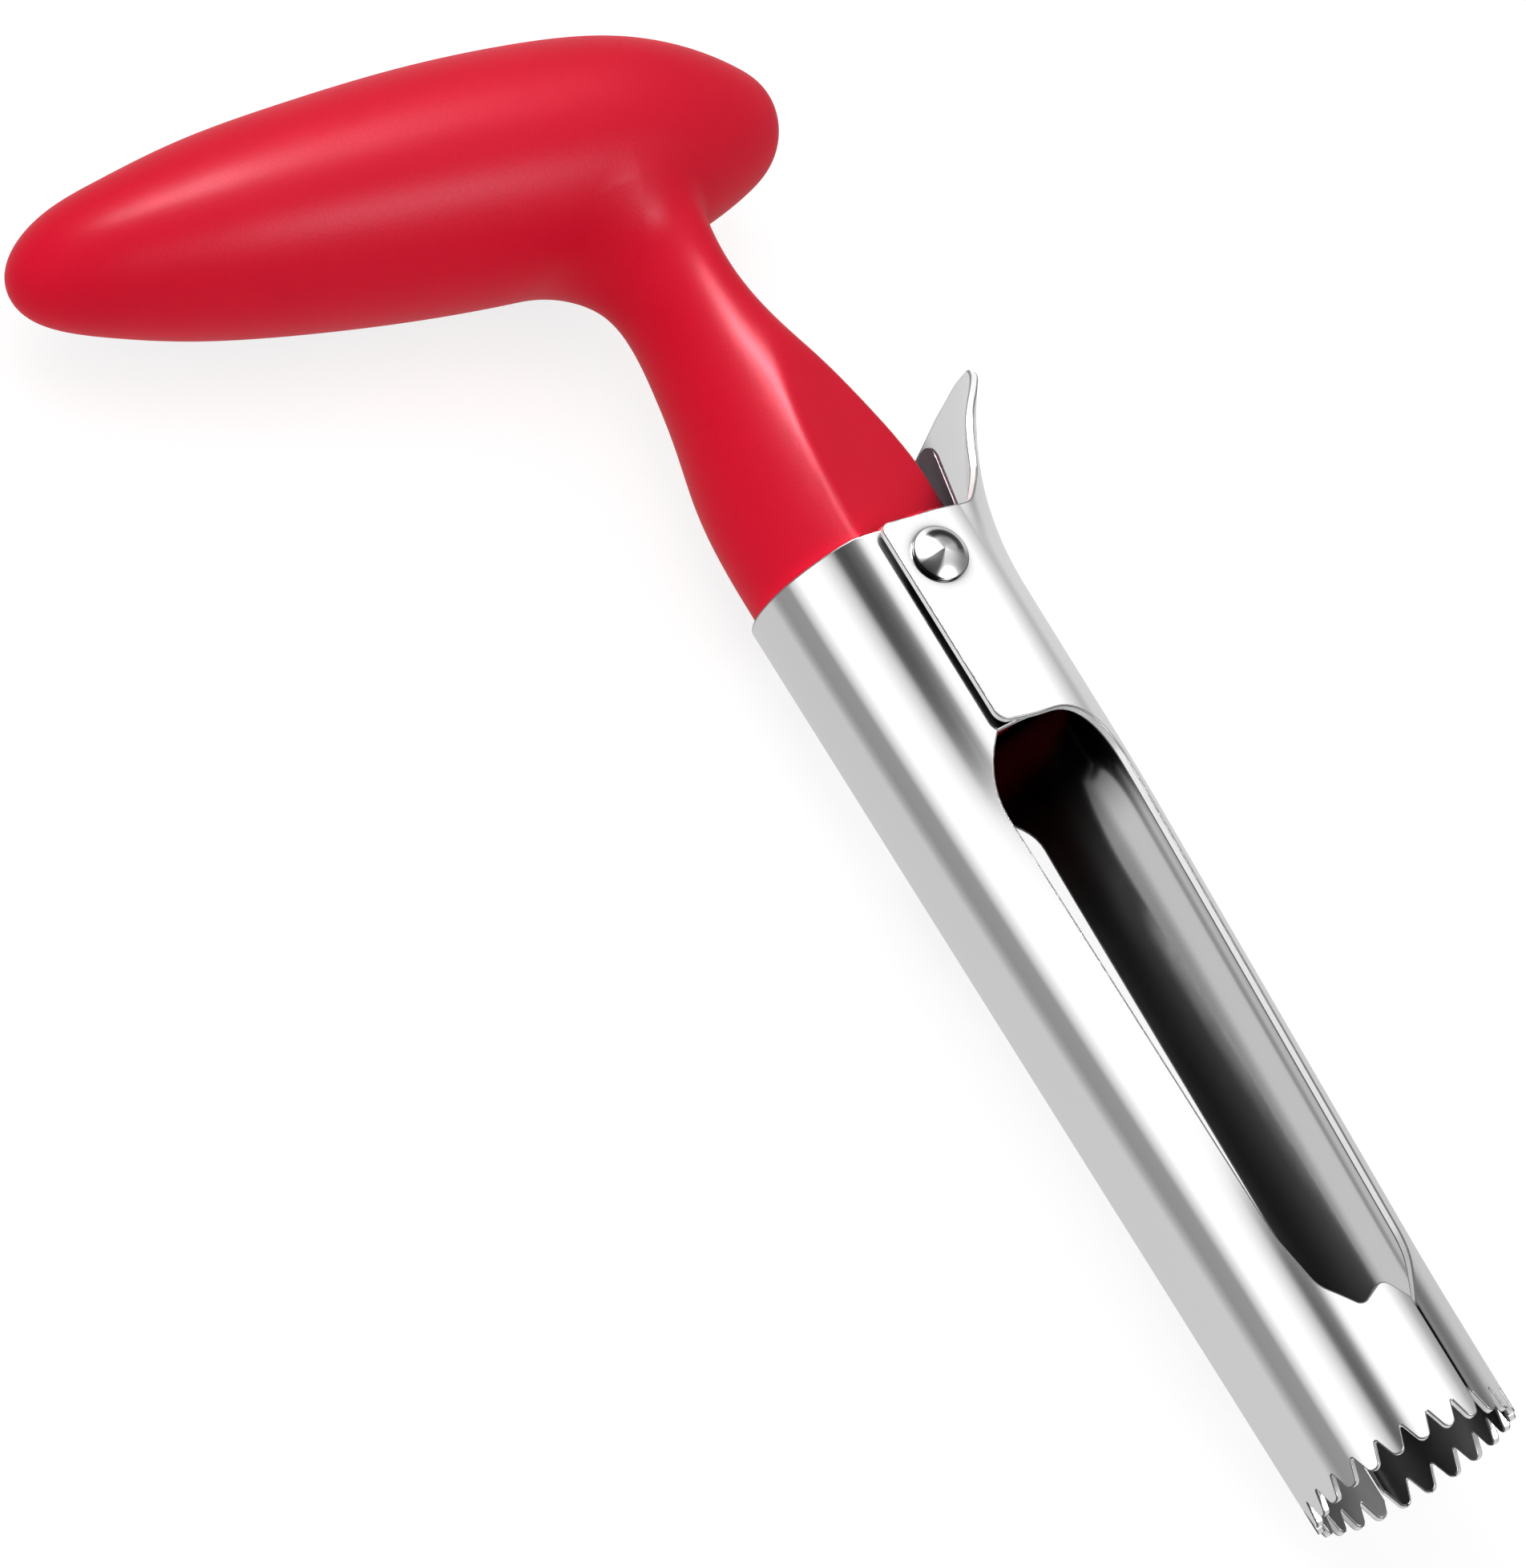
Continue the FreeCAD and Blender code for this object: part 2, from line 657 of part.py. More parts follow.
def make_grip():
    """Long rounded grip, lofted through flat ellipses."""
    sections = []
    for index, (share, rise, half) in enumerate(GRIP_SHAPE):
        reach = size.grip_front if share < 0 else size.grip_rear
        centre = (reach * -share, size.grip_half_height * rise, 0)
        sections.append(ellipse_section(f"grip_section_{index}", centre, size.grip_half_width * half,
                                        size.grip_half_height * half, ACROSS_GRIP))
    grip = loft("grip", sections)
    bind(grip, "Placement.Rotation.Angle", -size.grip_slope)
    bind(grip, "Placement.Base.y", size.blade_length + size.grip_rise)
    return grip


def make_neck():
    """Neck that narrows towards the grip, with a flat cheek on each side of the lever."""
    top = size.blade_length
    sections = [ellipse_section("neck_section_0", (0, top, 0), spigot_radius, spigot_radius, ACROSS_TUBE)]
    for index, (rise, shift, half_depth, half_width) in enumerate(NECK_SHAPE, start=1):
        centre = (spigot_radius * shift, top + size.neck_length * rise, 0)
        sections.append(ellipse_section(f"neck_section_{index}", centre, spigot_radius * half_width,
                                        spigot_radius * half_depth, ACROSS_TUBE))
    neck = loft("neck", sections)
    for side, name in ((1, "upper"), (-1, "lower")):
        block = doc.addObject("Part::Box", f"{name}_cheek_block")
        bind(block, "Length", far_side)
        bind(block, "Width", size.cheek_rise)
        bind(block, "Height", margin * 2)
        turn = Rotation(Vector(0, 1, 0), side * size.cheek_turn.number)
        tilt = Rotation(Vector(1, 0, 0), side * size.cheek_tilt.number)
        depth = (spigot_radius - size.cheek_depth).number
        corner = Vector(-far_side.number / 2, 0, depth if side > 0 else -depth - block.Height.Value)
        lay = Placement(Vector(0, size.blade_length.number, 0), turn.multiply(tilt))
        block.Placement = lay.multiply(Placement(corner, Rotation()))
        cheeked = doc.addObject("Part::Cut", f"neck_with_{name}_cheek")
        cheeked.Base = neck
        cheeked.Tool = block
        neck = cheeked
    return neck


def make_spigot():
    """Plug inside the collar, with the tube's taper."""
    spigot = doc.addObject("Part::Cone", "spigot")
    bind(spigot, "Radius1", spigot_radius - taper * size.spigot_length)
    bind(spigot, "Radius2", spigot_radius)
    bind(spigot, "Height", size.spigot_length)
    spigot.Placement = Placement(Vector(), ACROSS_TUBE)
    bind(spigot, "Placement.Base.y", size.blade_length - size.spigot_length)
    return spigot


def make_handle():
    """One moulding: grip, neck and spigot, with the pivot's bore and the leaf's slot."""
    whole = doc.addObject("Part::MultiFuse", "handle_whole")
    whole.Shapes = [make_grip(), make_neck(), make_spigot()]

    bore = doc.addObject("Part::Cylinder", "handle_bore")
    bind(bore, "Radius", size.barrel_radius + size.pivot_gap)
    bind(bore, "Height", far_side)
    bind(bore, "Placement.Base.y", pivot_height)
    bind(bore, "Placement.Base.z", -far_side / 2)

    outline = doc.addObject("Sketcher::SketchObject", "leaf_slot_outline")
    slot_back = leaf_inner - size.leaf_recess
    foot_end = leaf_inner - size.leaf_foot - size.leaf_slot_gap
    slot_bottom = leaf_foot_bottom - size.leaf_slot_gap
    foot_top = leaf_foot_bottom + size.leaf + size.leaf_slot_gap
    add_outline(outline, (
        (foot_end, slot_bottom),
        (spigot_radius + margin, slot_bottom),
        (spigot_radius + margin, size.blade_length - 1),
        (slot_back, size.blade_length - 3),
        (slot_back, foot_top),
        (foot_end, foot_top),
    ))
    slot = doc.addObject("Part::Extrusion", "leaf_slot")
    slot.Base = outline
    slot.DirMode = "Normal"
    slot.Solid = True
    slot.Symmetric = True
    bind(slot, "LengthFwd", (size.leaf_half_width + size.leaf_slot_gap) * 2)

    bored = doc.addObject("Part::Cut", "handle_bored")
    bored.Base = whole
    bored.Tool = bore
    handle = doc.addObject("Part::Cut", "handle")
    handle.Base = bored
    handle.Tool = slot
    handle.Label = "handle"
    return handle


pieces = (
    make_handle(),
    make_fixed_blade(),
    make_lever_blade(),
    make_rivet_barrel(),
    make_rivet_pin(),
    make_return_spring(),
)
doc.recompute()

# The own frame's origin lies under the middle of the whole tool, at the height of its lowest face.
points = [point for piece in pieces for point in piece.Shape.tessellate(0.05)[0]]
low = [min(point[axis] for point in points) for axis in range(3)]
high = [max(point[axis] for point in points) for axis in range(3)]
shift = Vector(-(low[0] + high[0]) / 2, -(low[1] + high[1]) / 2, -low[2])
for piece in pieces:
    piece.Placement = Placement(shift, Rotation())
doc.recompute()

for obj in doc.Objects:
    if "Invalid" in obj.State or "Error" in obj.State:
        raise RuntimeError(f"{obj.Name}: {obj.State}")
os.makedirs("parts", exist_ok=True)
for piece in pieces:
    if piece.Shape.isNull() or not piece.Shape.isValid() or len(piece.Shape.Solids) != 1:
        raise RuntimeError(f"{piece.Label} is not one sound solid")
    piece.Shape.exportStep(f"parts/{piece.Label}.step")
    print(piece.Label, round(piece.Shape.Volume, 1))
print("moved by", shift)
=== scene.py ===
import math

import bpy
import numpy as np
from mathutils import Matrix, Vector
from mathutils.geometry import delaunay_2d_cdt


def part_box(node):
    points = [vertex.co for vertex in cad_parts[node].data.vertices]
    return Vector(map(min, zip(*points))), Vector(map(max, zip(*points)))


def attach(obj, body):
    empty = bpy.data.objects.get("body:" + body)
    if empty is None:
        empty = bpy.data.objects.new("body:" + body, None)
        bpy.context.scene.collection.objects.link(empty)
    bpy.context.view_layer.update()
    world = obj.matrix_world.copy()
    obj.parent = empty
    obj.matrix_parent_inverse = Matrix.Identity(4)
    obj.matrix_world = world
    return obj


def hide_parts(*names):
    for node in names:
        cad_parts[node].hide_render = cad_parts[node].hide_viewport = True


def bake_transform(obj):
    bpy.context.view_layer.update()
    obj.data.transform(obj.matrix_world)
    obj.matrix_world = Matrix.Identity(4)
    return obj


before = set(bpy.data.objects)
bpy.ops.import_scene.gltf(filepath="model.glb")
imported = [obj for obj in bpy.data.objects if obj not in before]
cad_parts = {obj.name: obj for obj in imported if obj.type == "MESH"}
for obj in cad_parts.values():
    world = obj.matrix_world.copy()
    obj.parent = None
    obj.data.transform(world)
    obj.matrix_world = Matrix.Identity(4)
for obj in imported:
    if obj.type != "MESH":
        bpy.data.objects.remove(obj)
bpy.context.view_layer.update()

# Shapes are worked out in millimetres on the blade tube's own axes: Y runs up the tube from the
# tips of the teeth, X points to the side of the thumb lever, and Z is the pivot rivet's axis.
MILLIMETRE = 0.001

# Blade tube
BLADE_LENGTH = 116.0
MOUTH_RADIUS = 12.35
COLLAR_RADIUS = 13.0
SHEET = 0.9
TAPER = (COLLAR_RADIUS - MOUTH_RADIUS) / BLADE_LENGTH
EDGE_ROUNDING = 0.17
TEETH = 24
TOOTH_HALF_ANGLE = 19.5
TOOTH_TIP_RADIUS = 0.8
TOOTH_TIP_LAND = 0.05
GULLET_RADIUS = 0.15
SEAM_MARGIN = 0.004
# Unrolled, the first coordinate of both halves is the angle round the tube times this radius
UNROLLING_RADIUS = 13.0
# Spacing of the points over a half: round the tube, and up the fixed and the lever half
FACE_COLUMNS = 0.34
FIXED_ROWS = 1.6
LEVER_ROWS = 0.8

# Edge of the fixed half beside the split line and the window: place along X, height, rounding
FIXED_EDGE = (
    (2.8, 14.9, 0.4),
    (0.5, 17.8, 1.3),
    (-3.0, 16.0, 0.9),
    (-5.9, 20.2, 5.0),
    (-6.9, 27.0, 15.0),
    (-7.6, 86.0, 12.0),
    (-4.0, 90.0, 0.3),
    (3.0, 90.0, 0.3),
    (3.0, 115.2, 0.3),
    (-2.9, 115.2, 4.0),
    (-6.5, BLADE_LENGTH, 4.0),
    (-9.0, BLADE_LENGTH, 0.0),
)
FIXED_SEAM = 2.8
FIXED_TOP_POINTS = 110

# Edge of the lever half, with the rear end of the ear
LEVER_TOP = 114.9
EAR_REACH = 4.7
EAR_TOP = 115.4
LEVER_EDGE = (
    (3.2, 14.2, 0.4),
    (7.5, 20.7, 8.0),
    (9.65, 89.2, 7.0),
    (0.0, 89.4, 20.0),
    (-EAR_REACH, 90.2, 1.6),
    (-EAR_REACH, EAR_TOP, 1.1),
    (0.0, LEVER_TOP, 0.0),
)
LEVER_SEAM = 3.2
SHOULDER_POINTS = 20
EAR_RADIUS = 14.4
STEP_START = 18.0
STEP_END = 82.0
STEP_SOFTNESS = 5.3

# Thumb tab: place across the lever, height, rounding
TAB_EDGE = (
    (13.2, 114.75, 0.0),
    (11.7, 114.8, 1.6),
    (8.6, 119.2, 3.0),
    (8.75, 125.3, 5.0),
    (5.0, 129.2, 5.0),
    (1.9, 130.95, 3.0),
    (0.0, 131.0, 0.0),
)
FLARE_START = 103.5
FLARE_SIDE = 6.8
FLARE_BEND = 36.0
FLARE_LEAN = math.radians(25.5)
TIP_BEND = 50.0
CREASE_SOFTNESS = 0.25

# Pivot rivet
PIVOT_HEIGHT = 109.8
BARREL_RADIUS = 2.0
BARREL_BORE = 1.22
PIN_RADIUS = 1.2
HEAD_SEAT = 14.45
HEAD_RADIUS = 3.2
HEAD_RIM = 0.42
HEAD_RISE = 1.45
PIN_END = -12.9
HOLE_RADIUS = BARREL_RADIUS + 0.05
HOLE_POINTS = 48
SHANK_CHAMFER = 0.15
ON_AXIS = 0.0001
TURNED_STEPS = 96

# Leaf spring, seen from the side: place along X, height, rounding
LEAF = 0.5
LEAF_HALF_WIDTH = 2.1
LEAF_CORNER = 1.9
LEAF_FOOT_CORNER = 0.3
LEAF_ROUNDING = 0.1
LEAF_SPACING = 0.4
LEAF_OUTER = 11.45
LEAF_PATH = (
    (7.75, 98.1, 0.0),
    (LEAF_OUTER, 98.1, 1.1),
    (LEAF_OUTER, 102.8, 4.0),
    (15.97, 125.4, 0.0),
)

# Handle
SPIGOT_FOOT = 95.0
SPIGOT_TOP = BLADE_LENGTH + 0.01
SPIGOT_RADIUS = 12.05
LEAF_SLOT_HALF_WIDTH = 2.7
LEAF_SLOT_FLOOR = 10.6
LEAF_SLOT_HEIGHTS = (97.5, 114.0)
NECK_TOP = 162.0
CHEEK_DEPTH = 8.25
CHEEK_TURN = math.radians(21.8)
CHEEK_TILT = math.radians(2.3)
CHEEK_SOFTNESS = 0.7
GRIP_HEIGHT = 169.4
GRIP_SLOPE = math.radians(8.9)
GRIP_HALF_HEIGHT = 13.0
GRIP_HALF_WIDTH = 16.35
REAR_JOINT_SOFTNESS = 3.4
FRONT_JOINT_SOFTNESS = 1.0
SOFTNESS_CHANGES = (-6, 4)
HANDLE_LOW = (-76, 94, -17.2)
HANDLE_HIGH = (22.5, 189, 17.2)
HANDLE_CELL = 0.6

# Sections of the grip: place from the tube's axis away from the lever, rise of the middle line and
# half size as shares of the thickest section
GRIP_SECTIONS = (
    (-20.6, -0.045, 0.13), (-19.36, -0.04, 0.34),
    (-16.48, -0.03, 0.52), (-10.92, -0.01, 0.72),
    (-2.06, 0.0, 0.92), (9.67, 0.01, 1.0),
    (23.81, 0.02, 0.99), (37.94, 0.02, 0.915),
    (52.08, 0.02, 0.785), (61.75, 0.015, 0.63),
    (69.19, 0.01, 0.46), (72.91, 0.0, 0.28),
    (74.4, 0.0, 0.115),
)
# Sections of the neck: height above the collar, place along X, half depth and half width
NECK_SECTIONS = (
    (0.0, 0.0, 12.05, 12.05), (8.0, -0.10, 11.80, 11.95),
    (15.0, -0.51, 10.43, 11.40), (22.0, -0.71, 8.47, 10.09),
    (28.0, -1.11, 6.86, 9.07), (34.0, -1.31, 5.84, 8.68),
    (38.5, -1.61, 6.25, 8.98), (42.0, -2.41, 7.66, 9.88),
    (46.0, -3.43, 9.48, 11.29),
)


def tube_origin():
    """Where the tube's own axes start, from the rivet that lies across them."""
    barrel_low, barrel_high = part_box("rivet_barrel")
    pin_low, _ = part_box("rivet_pin")
    across = (barrel_high.z + pin_low.z) / 2
    middle = (barrel_low + barrel_high) / 2
    return np.array([middle.x, middle.y - PIVOT_HEIGHT * MILLIMETRE, across])


ORIGIN = tube_origin()


def add_object(name, data):
    made = bpy.data.objects.new(name, data)
    bpy.context.scene.collection.objects.link(made)
    return made


def add_mesh(name, points, faces, materials):
    """Makes an object from points in metres."""
    mesh = bpy.data.meshes.new(name)
    mesh.from_pydata(np.asarray(points).tolist(), [], faces)
    for material in materials:
        mesh.materials.append(material)
    return add_object(name, mesh)


def add_piece(name, points, faces, normals, materials, body, node, finish_of_face=None):
    """Makes a piece from points in millimetres, and lets it stand for its solid."""
    piece = add_mesh(name, np.asarray(points) * MILLIMETRE + ORIGIN,
                     [tuple(int(i) for i in face) for face in faces], materials)
    mesh = piece.data
    mesh.shade_smooth()
    mesh.normals_split_custom_set_from_vertices(np.asarray(normals).tolist())
    if finish_of_face is not None:
        mesh.polygons.foreach_set("material_index", finish_of_face)
    if body:
        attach(piece, body)
    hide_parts(node)
    return piece


def unit(vectors):
    return vectors / np.maximum(np.linalg.norm(vectors, axis=-1, keepdims=True), 1e-12)


def rounded_path(corners, step=0.5):
    """Points along straight runs whose corners (x, y, rounding) are rounded by arcs."""
    corners = [np.array(corner, float) for corner in corners]
    points = [corners[0][:2]]

    def run_to(end):
        start = points[-1]
        count = max(1, int(np.ceil(np.linalg.norm(end - start) / step)))
        points.extend(start + (end - start) * i / count for i in range(1, count + 1))

    for before, corner, after in zip(corners, corners[1:], corners[2:]):
        radius = corner[2]
        if radius == 0:
            run_to(corner[:2])
            continue
        back = unit(before[:2] - corner[:2])
        ahead = unit(after[:2] - corner[:2])
        half = math.acos(np.clip(back @ ahead, -1, 1)) / 2
        centre = corner[:2] + unit(back + ahead) * radius / math.sin(half)
        run_to(corner[:2] + back * radius / math.tan(half))
        first = points[-1] - centre
        last = corner[:2] + ahead * radius / math.tan(half) - centre
        sweep = math.pi - 2 * half
        count = max(3, int(np.ceil(math.degrees(sweep) / 7)))
        for i in range(1, count + 1):
            share = i / count
            mixed = np.sin((1 - share) * sweep) * first + np.sin(share * sweep) * last
            points.append(centre + mixed / math.sin(sweep))
    run_to(corners[-1][:2])
    return np.array(points)


def ramp(distance, softness):
    """Zero, then rising with slope one, with a soft bend between."""
    bend = (distance + softness) ** 2 / (4 * softness)
    return np.where(distance < -softness, 0, np.where(distance > softness, distance, bend))


def soft_max(first, second, softness):
    overlap = np.maximum(softness - np.abs(first - second), 0) / softness
    return np.maximum(first, second) + overlap * overlap * softness / 4


def fixed_radius(height):
    return MOUTH_RADIUS + TAPER * height


def fixed_surface(unrolled):
    angle = unrolled[:, 0] / UNROLLING_RADIUS
    height = unrolled[:, 1]
    radius = fixed_radius(height)
    return np.column_stack([radius * np.cos(angle), height, radius * np.sin(angle)])


def lever_radius(height):
    """Outside radius of the lever half below its flare."""
    foot = MOUTH_RADIUS + TAPER * STEP_START
    slope = (EAR_RADIUS - foot) / (STEP_END - STEP_START)
    rise = (slope - TAPER) * ramp(height - STEP_START, STEP_SOFTNESS)
    return MOUTH_RADIUS + TAPER * height + rise - slope * ramp(height - STEP_END, STEP_SOFTNESS)


def flare_front(height):
    """How far the front of the flare stands before the tube's axis."""
    lower_rise = FLARE_BEND * math.sin(FLARE_LEAN)
    above = np.maximum(height - FLARE_START, 0)
    extra = TIP_BEND - FLARE_BEND
    sine = np.where(above < lower_rise, above / FLARE_BEND,
                    (above + extra * math.sin(FLARE_LEAN)) / TIP_BEND)
    cosine = np.sqrt(1 - np.minimum(sine, 0.99) ** 2)
    upper = np.where(above < lower_rise, 0, extra * (math.cos(FLARE_LEAN) - cosine))
    return lever_radius(height) + FLARE_BEND * (1 - cosine) + upper


def flare_circle(height):
    """Centre and radius of the flare's round section."""
    front = flare_front(height)
    centre = (front ** 2 - EAR_RADIUS ** 2) / (2 * (front - FLARE_SIDE))
    return np.where(height > FLARE_START, centre, 0), front


def lever_surface(unrolled):
    angle = unrolled[:, 0] / UNROLLING_RADIUS
    height = unrolled[:, 1]
    tube = lever_radius(height)
    centre, front = flare_circle(height)
    sideways = np.maximum((front - centre) ** 2 - (centre * np.sin(angle)) ** 2, 0)
    flared = centre * np.cos(angle) + np.sqrt(sideways)
    softened = soft_max(tube, flared, CREASE_SOFTNESS) - CREASE_SOFTNESS / 4
    on_flare = (height > FLARE_START) & (np.cos(angle) > 0.1)
    radius = np.where(on_flare, np.maximum(softened, tube), tube)
    flat = np.cos(angle) < 0
    radius = np.where(flat, tube / np.maximum(np.abs(np.sin(angle)), 0.3), radius)
    return np.column_stack([radius * np.cos(angle), height, radius * np.sin(angle)])


def inside_loop(points, loop):
    """Which points lie inside a closed outline."""
    x, y = points.T
    inside = np.zeros(len(points), bool)
    for start, end in zip(loop, np.roll(loop, -1, axis=0)):
        if start[1] == end[1]:
            continue
        crosses = (start[1] > y) != (end[1] > y)
        reach = start[0] + (y - start[1]) / (end[1] - start[1]) * (end[0] - start[0])
        inside ^= crosses & (x < reach)
    return inside


def moved_inwards(loop, distance):
    """Outline moved to its left, where the material is."""
    before = unit(loop - np.roll(loop, 1, axis=0))
    after = unit(np.roll(loop, -1, axis=0) - loop)
    left_before = np.column_stack([-before[:, 1], before[:, 0]])
    left_after = np.column_stack([-after[:, 1], after[:, 0]])
    middle = unit(left_before + left_after)
    reach = distance / np.maximum((middle * left_after).sum(axis=1), 0.6)
    return loop + middle * reach[:, None]


# Finishes of a sheet's faces, in the order of its materials
OUTSIDE, INSIDE, CUT_EDGE, BORDER = range(4)
# How far round the rounding of a cut edge its rows of points are
ROUNDING_SHARES = (0.33, 0.67, 1.0)


class Sheet:
    """Bent sheet of even thickness. Its surface gives the outside from unrolled coordinates."""

    def __init__(self, surface, thickness):
        self.surface = surface
        self.thickness = thickness

    def normals(self, unrolled):
        """Outward normals, from small steps along both coordinates."""
        small = 0.002
        along = self.surface(unrolled + [small, 0]) - self.surface(unrolled - [small, 0])
        up = self.surface(unrolled + [0, small]) - self.surface(unrolled - [0, small])
        return unit(np.cross(up, along))

    def inside(self, unrolled):
        return self.surface(unrolled) - self.normals(unrolled) * self.thickness

    def cut_through(self, unrolled):
        """Unrolled places on the inside that lie straight behind places on the outside, along the
        rivet."""
        wanted = self.surface(unrolled)[:, :2]
        found = unrolled.copy()
        small = 0.01
        for _ in range(6):
            reached = self.inside(found)[:, :2]
            along = (self.inside(found + [small, 0])[:, :2] - reached) / small
            up = (self.inside(found + [0, small])[:, :2] - reached) / small
            miss = wanted - reached
            area = along[:, 0] * up[:, 1] - along[:, 1] * up[:, 0]
            found[:, 0] += (miss[:, 0] * up[:, 1] - miss[:, 1] * up[:, 0]) / area
            found[:, 1] += (along[:, 0] * miss[:, 1] - along[:, 1] * miss[:, 0]) / area
        return found

    def skin(self, loops, columns, rows):
        """Points and triangles inside an outline and outside its holes, and which are its rims."""
        flat_points = np.concatenate(loops)
        constraints = []
        start = 0
        for loop in loops:
            count = len(loop)
            constraints += [(start + i, start + (i + 1) % count) for i in range(count)]
            start += count
        low, high = flat_points.min(axis=0), flat_points.max(axis=0)
        across = np.arange(low[0], high[0], columns)
        up = np.arange(low[1], high[1], rows)
        grid = np.stack(np.meshgrid(across, up), -1).reshape(-1, 2)
        weight = np.array([1, columns / rows])
        near = np.zeros(len(grid), bool)
        for part in np.array_split(flat_points, max(1, len(flat_points) // 200)):
            gaps = np.linalg.norm((grid[:, None] - part[None]) * weight, axis=2)
            near |= gaps.min(axis=1) < columns * 0.45
        seeds = np.concatenate([flat_points, grid[~near & inside_loop(grid, loops[0])]])
        seeds = [Vector(p) for p in seeds * weight]
        result = delaunay_2d_cdt(seeds, constraints, [], 0, 1e-6, True)
        found = np.array([list(p) for p in result[0]]) / weight
        triangles = np.array([list(face) for face in result[2]])
        middles = found[triangles].mean(axis=1)
        kept = inside_loop(middles, loops[0])
        for loop in loops[1:]:
            kept &= ~inside_loop(middles, loop)
        triangles = triangles[kept]
        a, b, c = (found[triangles[:, i]] for i in range(3))
        turning = np.cross(b - a, c - a)
        triangles[turning < 0] = triangles[turning < 0][:, ::-1]
        place_of = {source: place for place, sources in enumerate(result[3]) for source in sources}
        rim = np.array([place_of[i] for i in range(len(flat_points))])
        return found, triangles, rim

    def mesh(self, outer_loops, inner_loops, rounding, columns, rows):
        """Points, faces, normals, and the finish of each face. Outlines and the edges of holes run
        with the material on their left."""
        (outer_flat, outer_faces, outer_rim), (inner_flat, inner_faces, inner_rim) = (
            self.skin([moved_inwards(loop, rounding) for loop in loops], columns, rows)
            for loops in (outer_loops, inner_loops))
        outer_normals, inner_normals = self.normals(outer_flat), -self.normals(inner_flat)
        points = [self.surface(outer_flat), self.inside(inner_flat)]
        directions = [outer_normals, inner_normals]
        total = len(outer_flat) + len(inner_flat)
        rims = []
        start = 0
        for outer_loop, inner_loop in zip(outer_loops, inner_loops):
            count = len(outer_loop)
            first = outer_rim[start:start + count]
            last = inner_rim[start:start + count]
            start += count
            top, bottom = self.surface(outer_loop), self.inside(inner_loop)
            down = unit(bottom - top)
            travel = unit(np.roll(top, -1, axis=0) - np.roll(top, 1, axis=0))
            outwards = unit(np.cross(travel, down))
            previous = first
            for middle, edge, facing, inwards, order in (
                (points[0][first], top, outer_normals[first], down, 1),
                (points[1][last], bottom, inner_normals[last], -down, -1),
            ):
                reached = edge + inwards * rounding
                for share in ROUNDING_SHARES[::order]:
                    curve = ((1 - share) ** 2 * middle + 2 * share * (1 - share) * edge
                             + share ** 2 * reached)
                    points.append(curve)
                    lean = share * math.pi / 2
                    directions.append(unit(facing * math.cos(lean) + outwards * math.sin(lean)))
                    row = total + np.arange(count)
                    rims.append(np.column_stack(
                        [previous, np.roll(previous, -1), np.roll(row, -1), row]))
                    previous = row
                    total += count
            place = last + len(outer_flat)
            rims.append(np.column_stack(
                [previous, np.roll(previous, -1), np.roll(place, -1), place]))
        finish_of_face = [OUTSIDE] * len(outer_faces) + [INSIDE] * len(inner_faces)
        strips = len(ROUNDING_SHARES)
        for number, rim in enumerate(rims):
            is_cut = number % (2 * strips + 1) == strips
            finish_of_face += [CUT_EDGE if is_cut else BORDER] * len(rim)
        rims = np.concatenate(rims).tolist()
        faces = outer_faces[:, ::-1].tolist() + (inner_faces + len(outer_flat)).tolist() + rims
        return np.concatenate(points), faces, np.concatenate(directions), finish_of_face


def mirrored(path, middle):
    """The same path on the other side of the middle, run backwards."""
    return np.column_stack([2 * middle - path[::-1, 0], path[::-1, 1]])


def angle_at(place, radius):
    """Angle round the tube where a wall of that radius stands at a place along X."""
    on_round = np.arccos(np.clip(place / radius, -1, 1))
    on_flat = np.arctan2(radius, place)
    return np.where(place < 0, on_flat, on_round)


def hole_edges(radius_of_wall, flat_behind, whole_turn):
    """Edges of the rivet's near and far hole, run with the material on their left."""
    turns = np.linspace(0, 2 * math.pi, HOLE_POINTS, endpoint=False)
    place = HOLE_RADIUS * np.cos(turns)
    heights = PIVOT_HEIGHT + HOLE_RADIUS * np.sin(turns)
    near = angle_at(place, radius_of_wall) if flat_behind else np.arccos(place / radius_of_wall)
    edges = []
    for angles in (near, whole_turn - near):
        loop = np.column_stack([angles * UNROLLING_RADIUS, heights])
        area = np.cross(loop, np.roll(loop, -1, axis=0)).sum()
        edges.append(loop[::-1] if area > 0 else loop)
    return edges


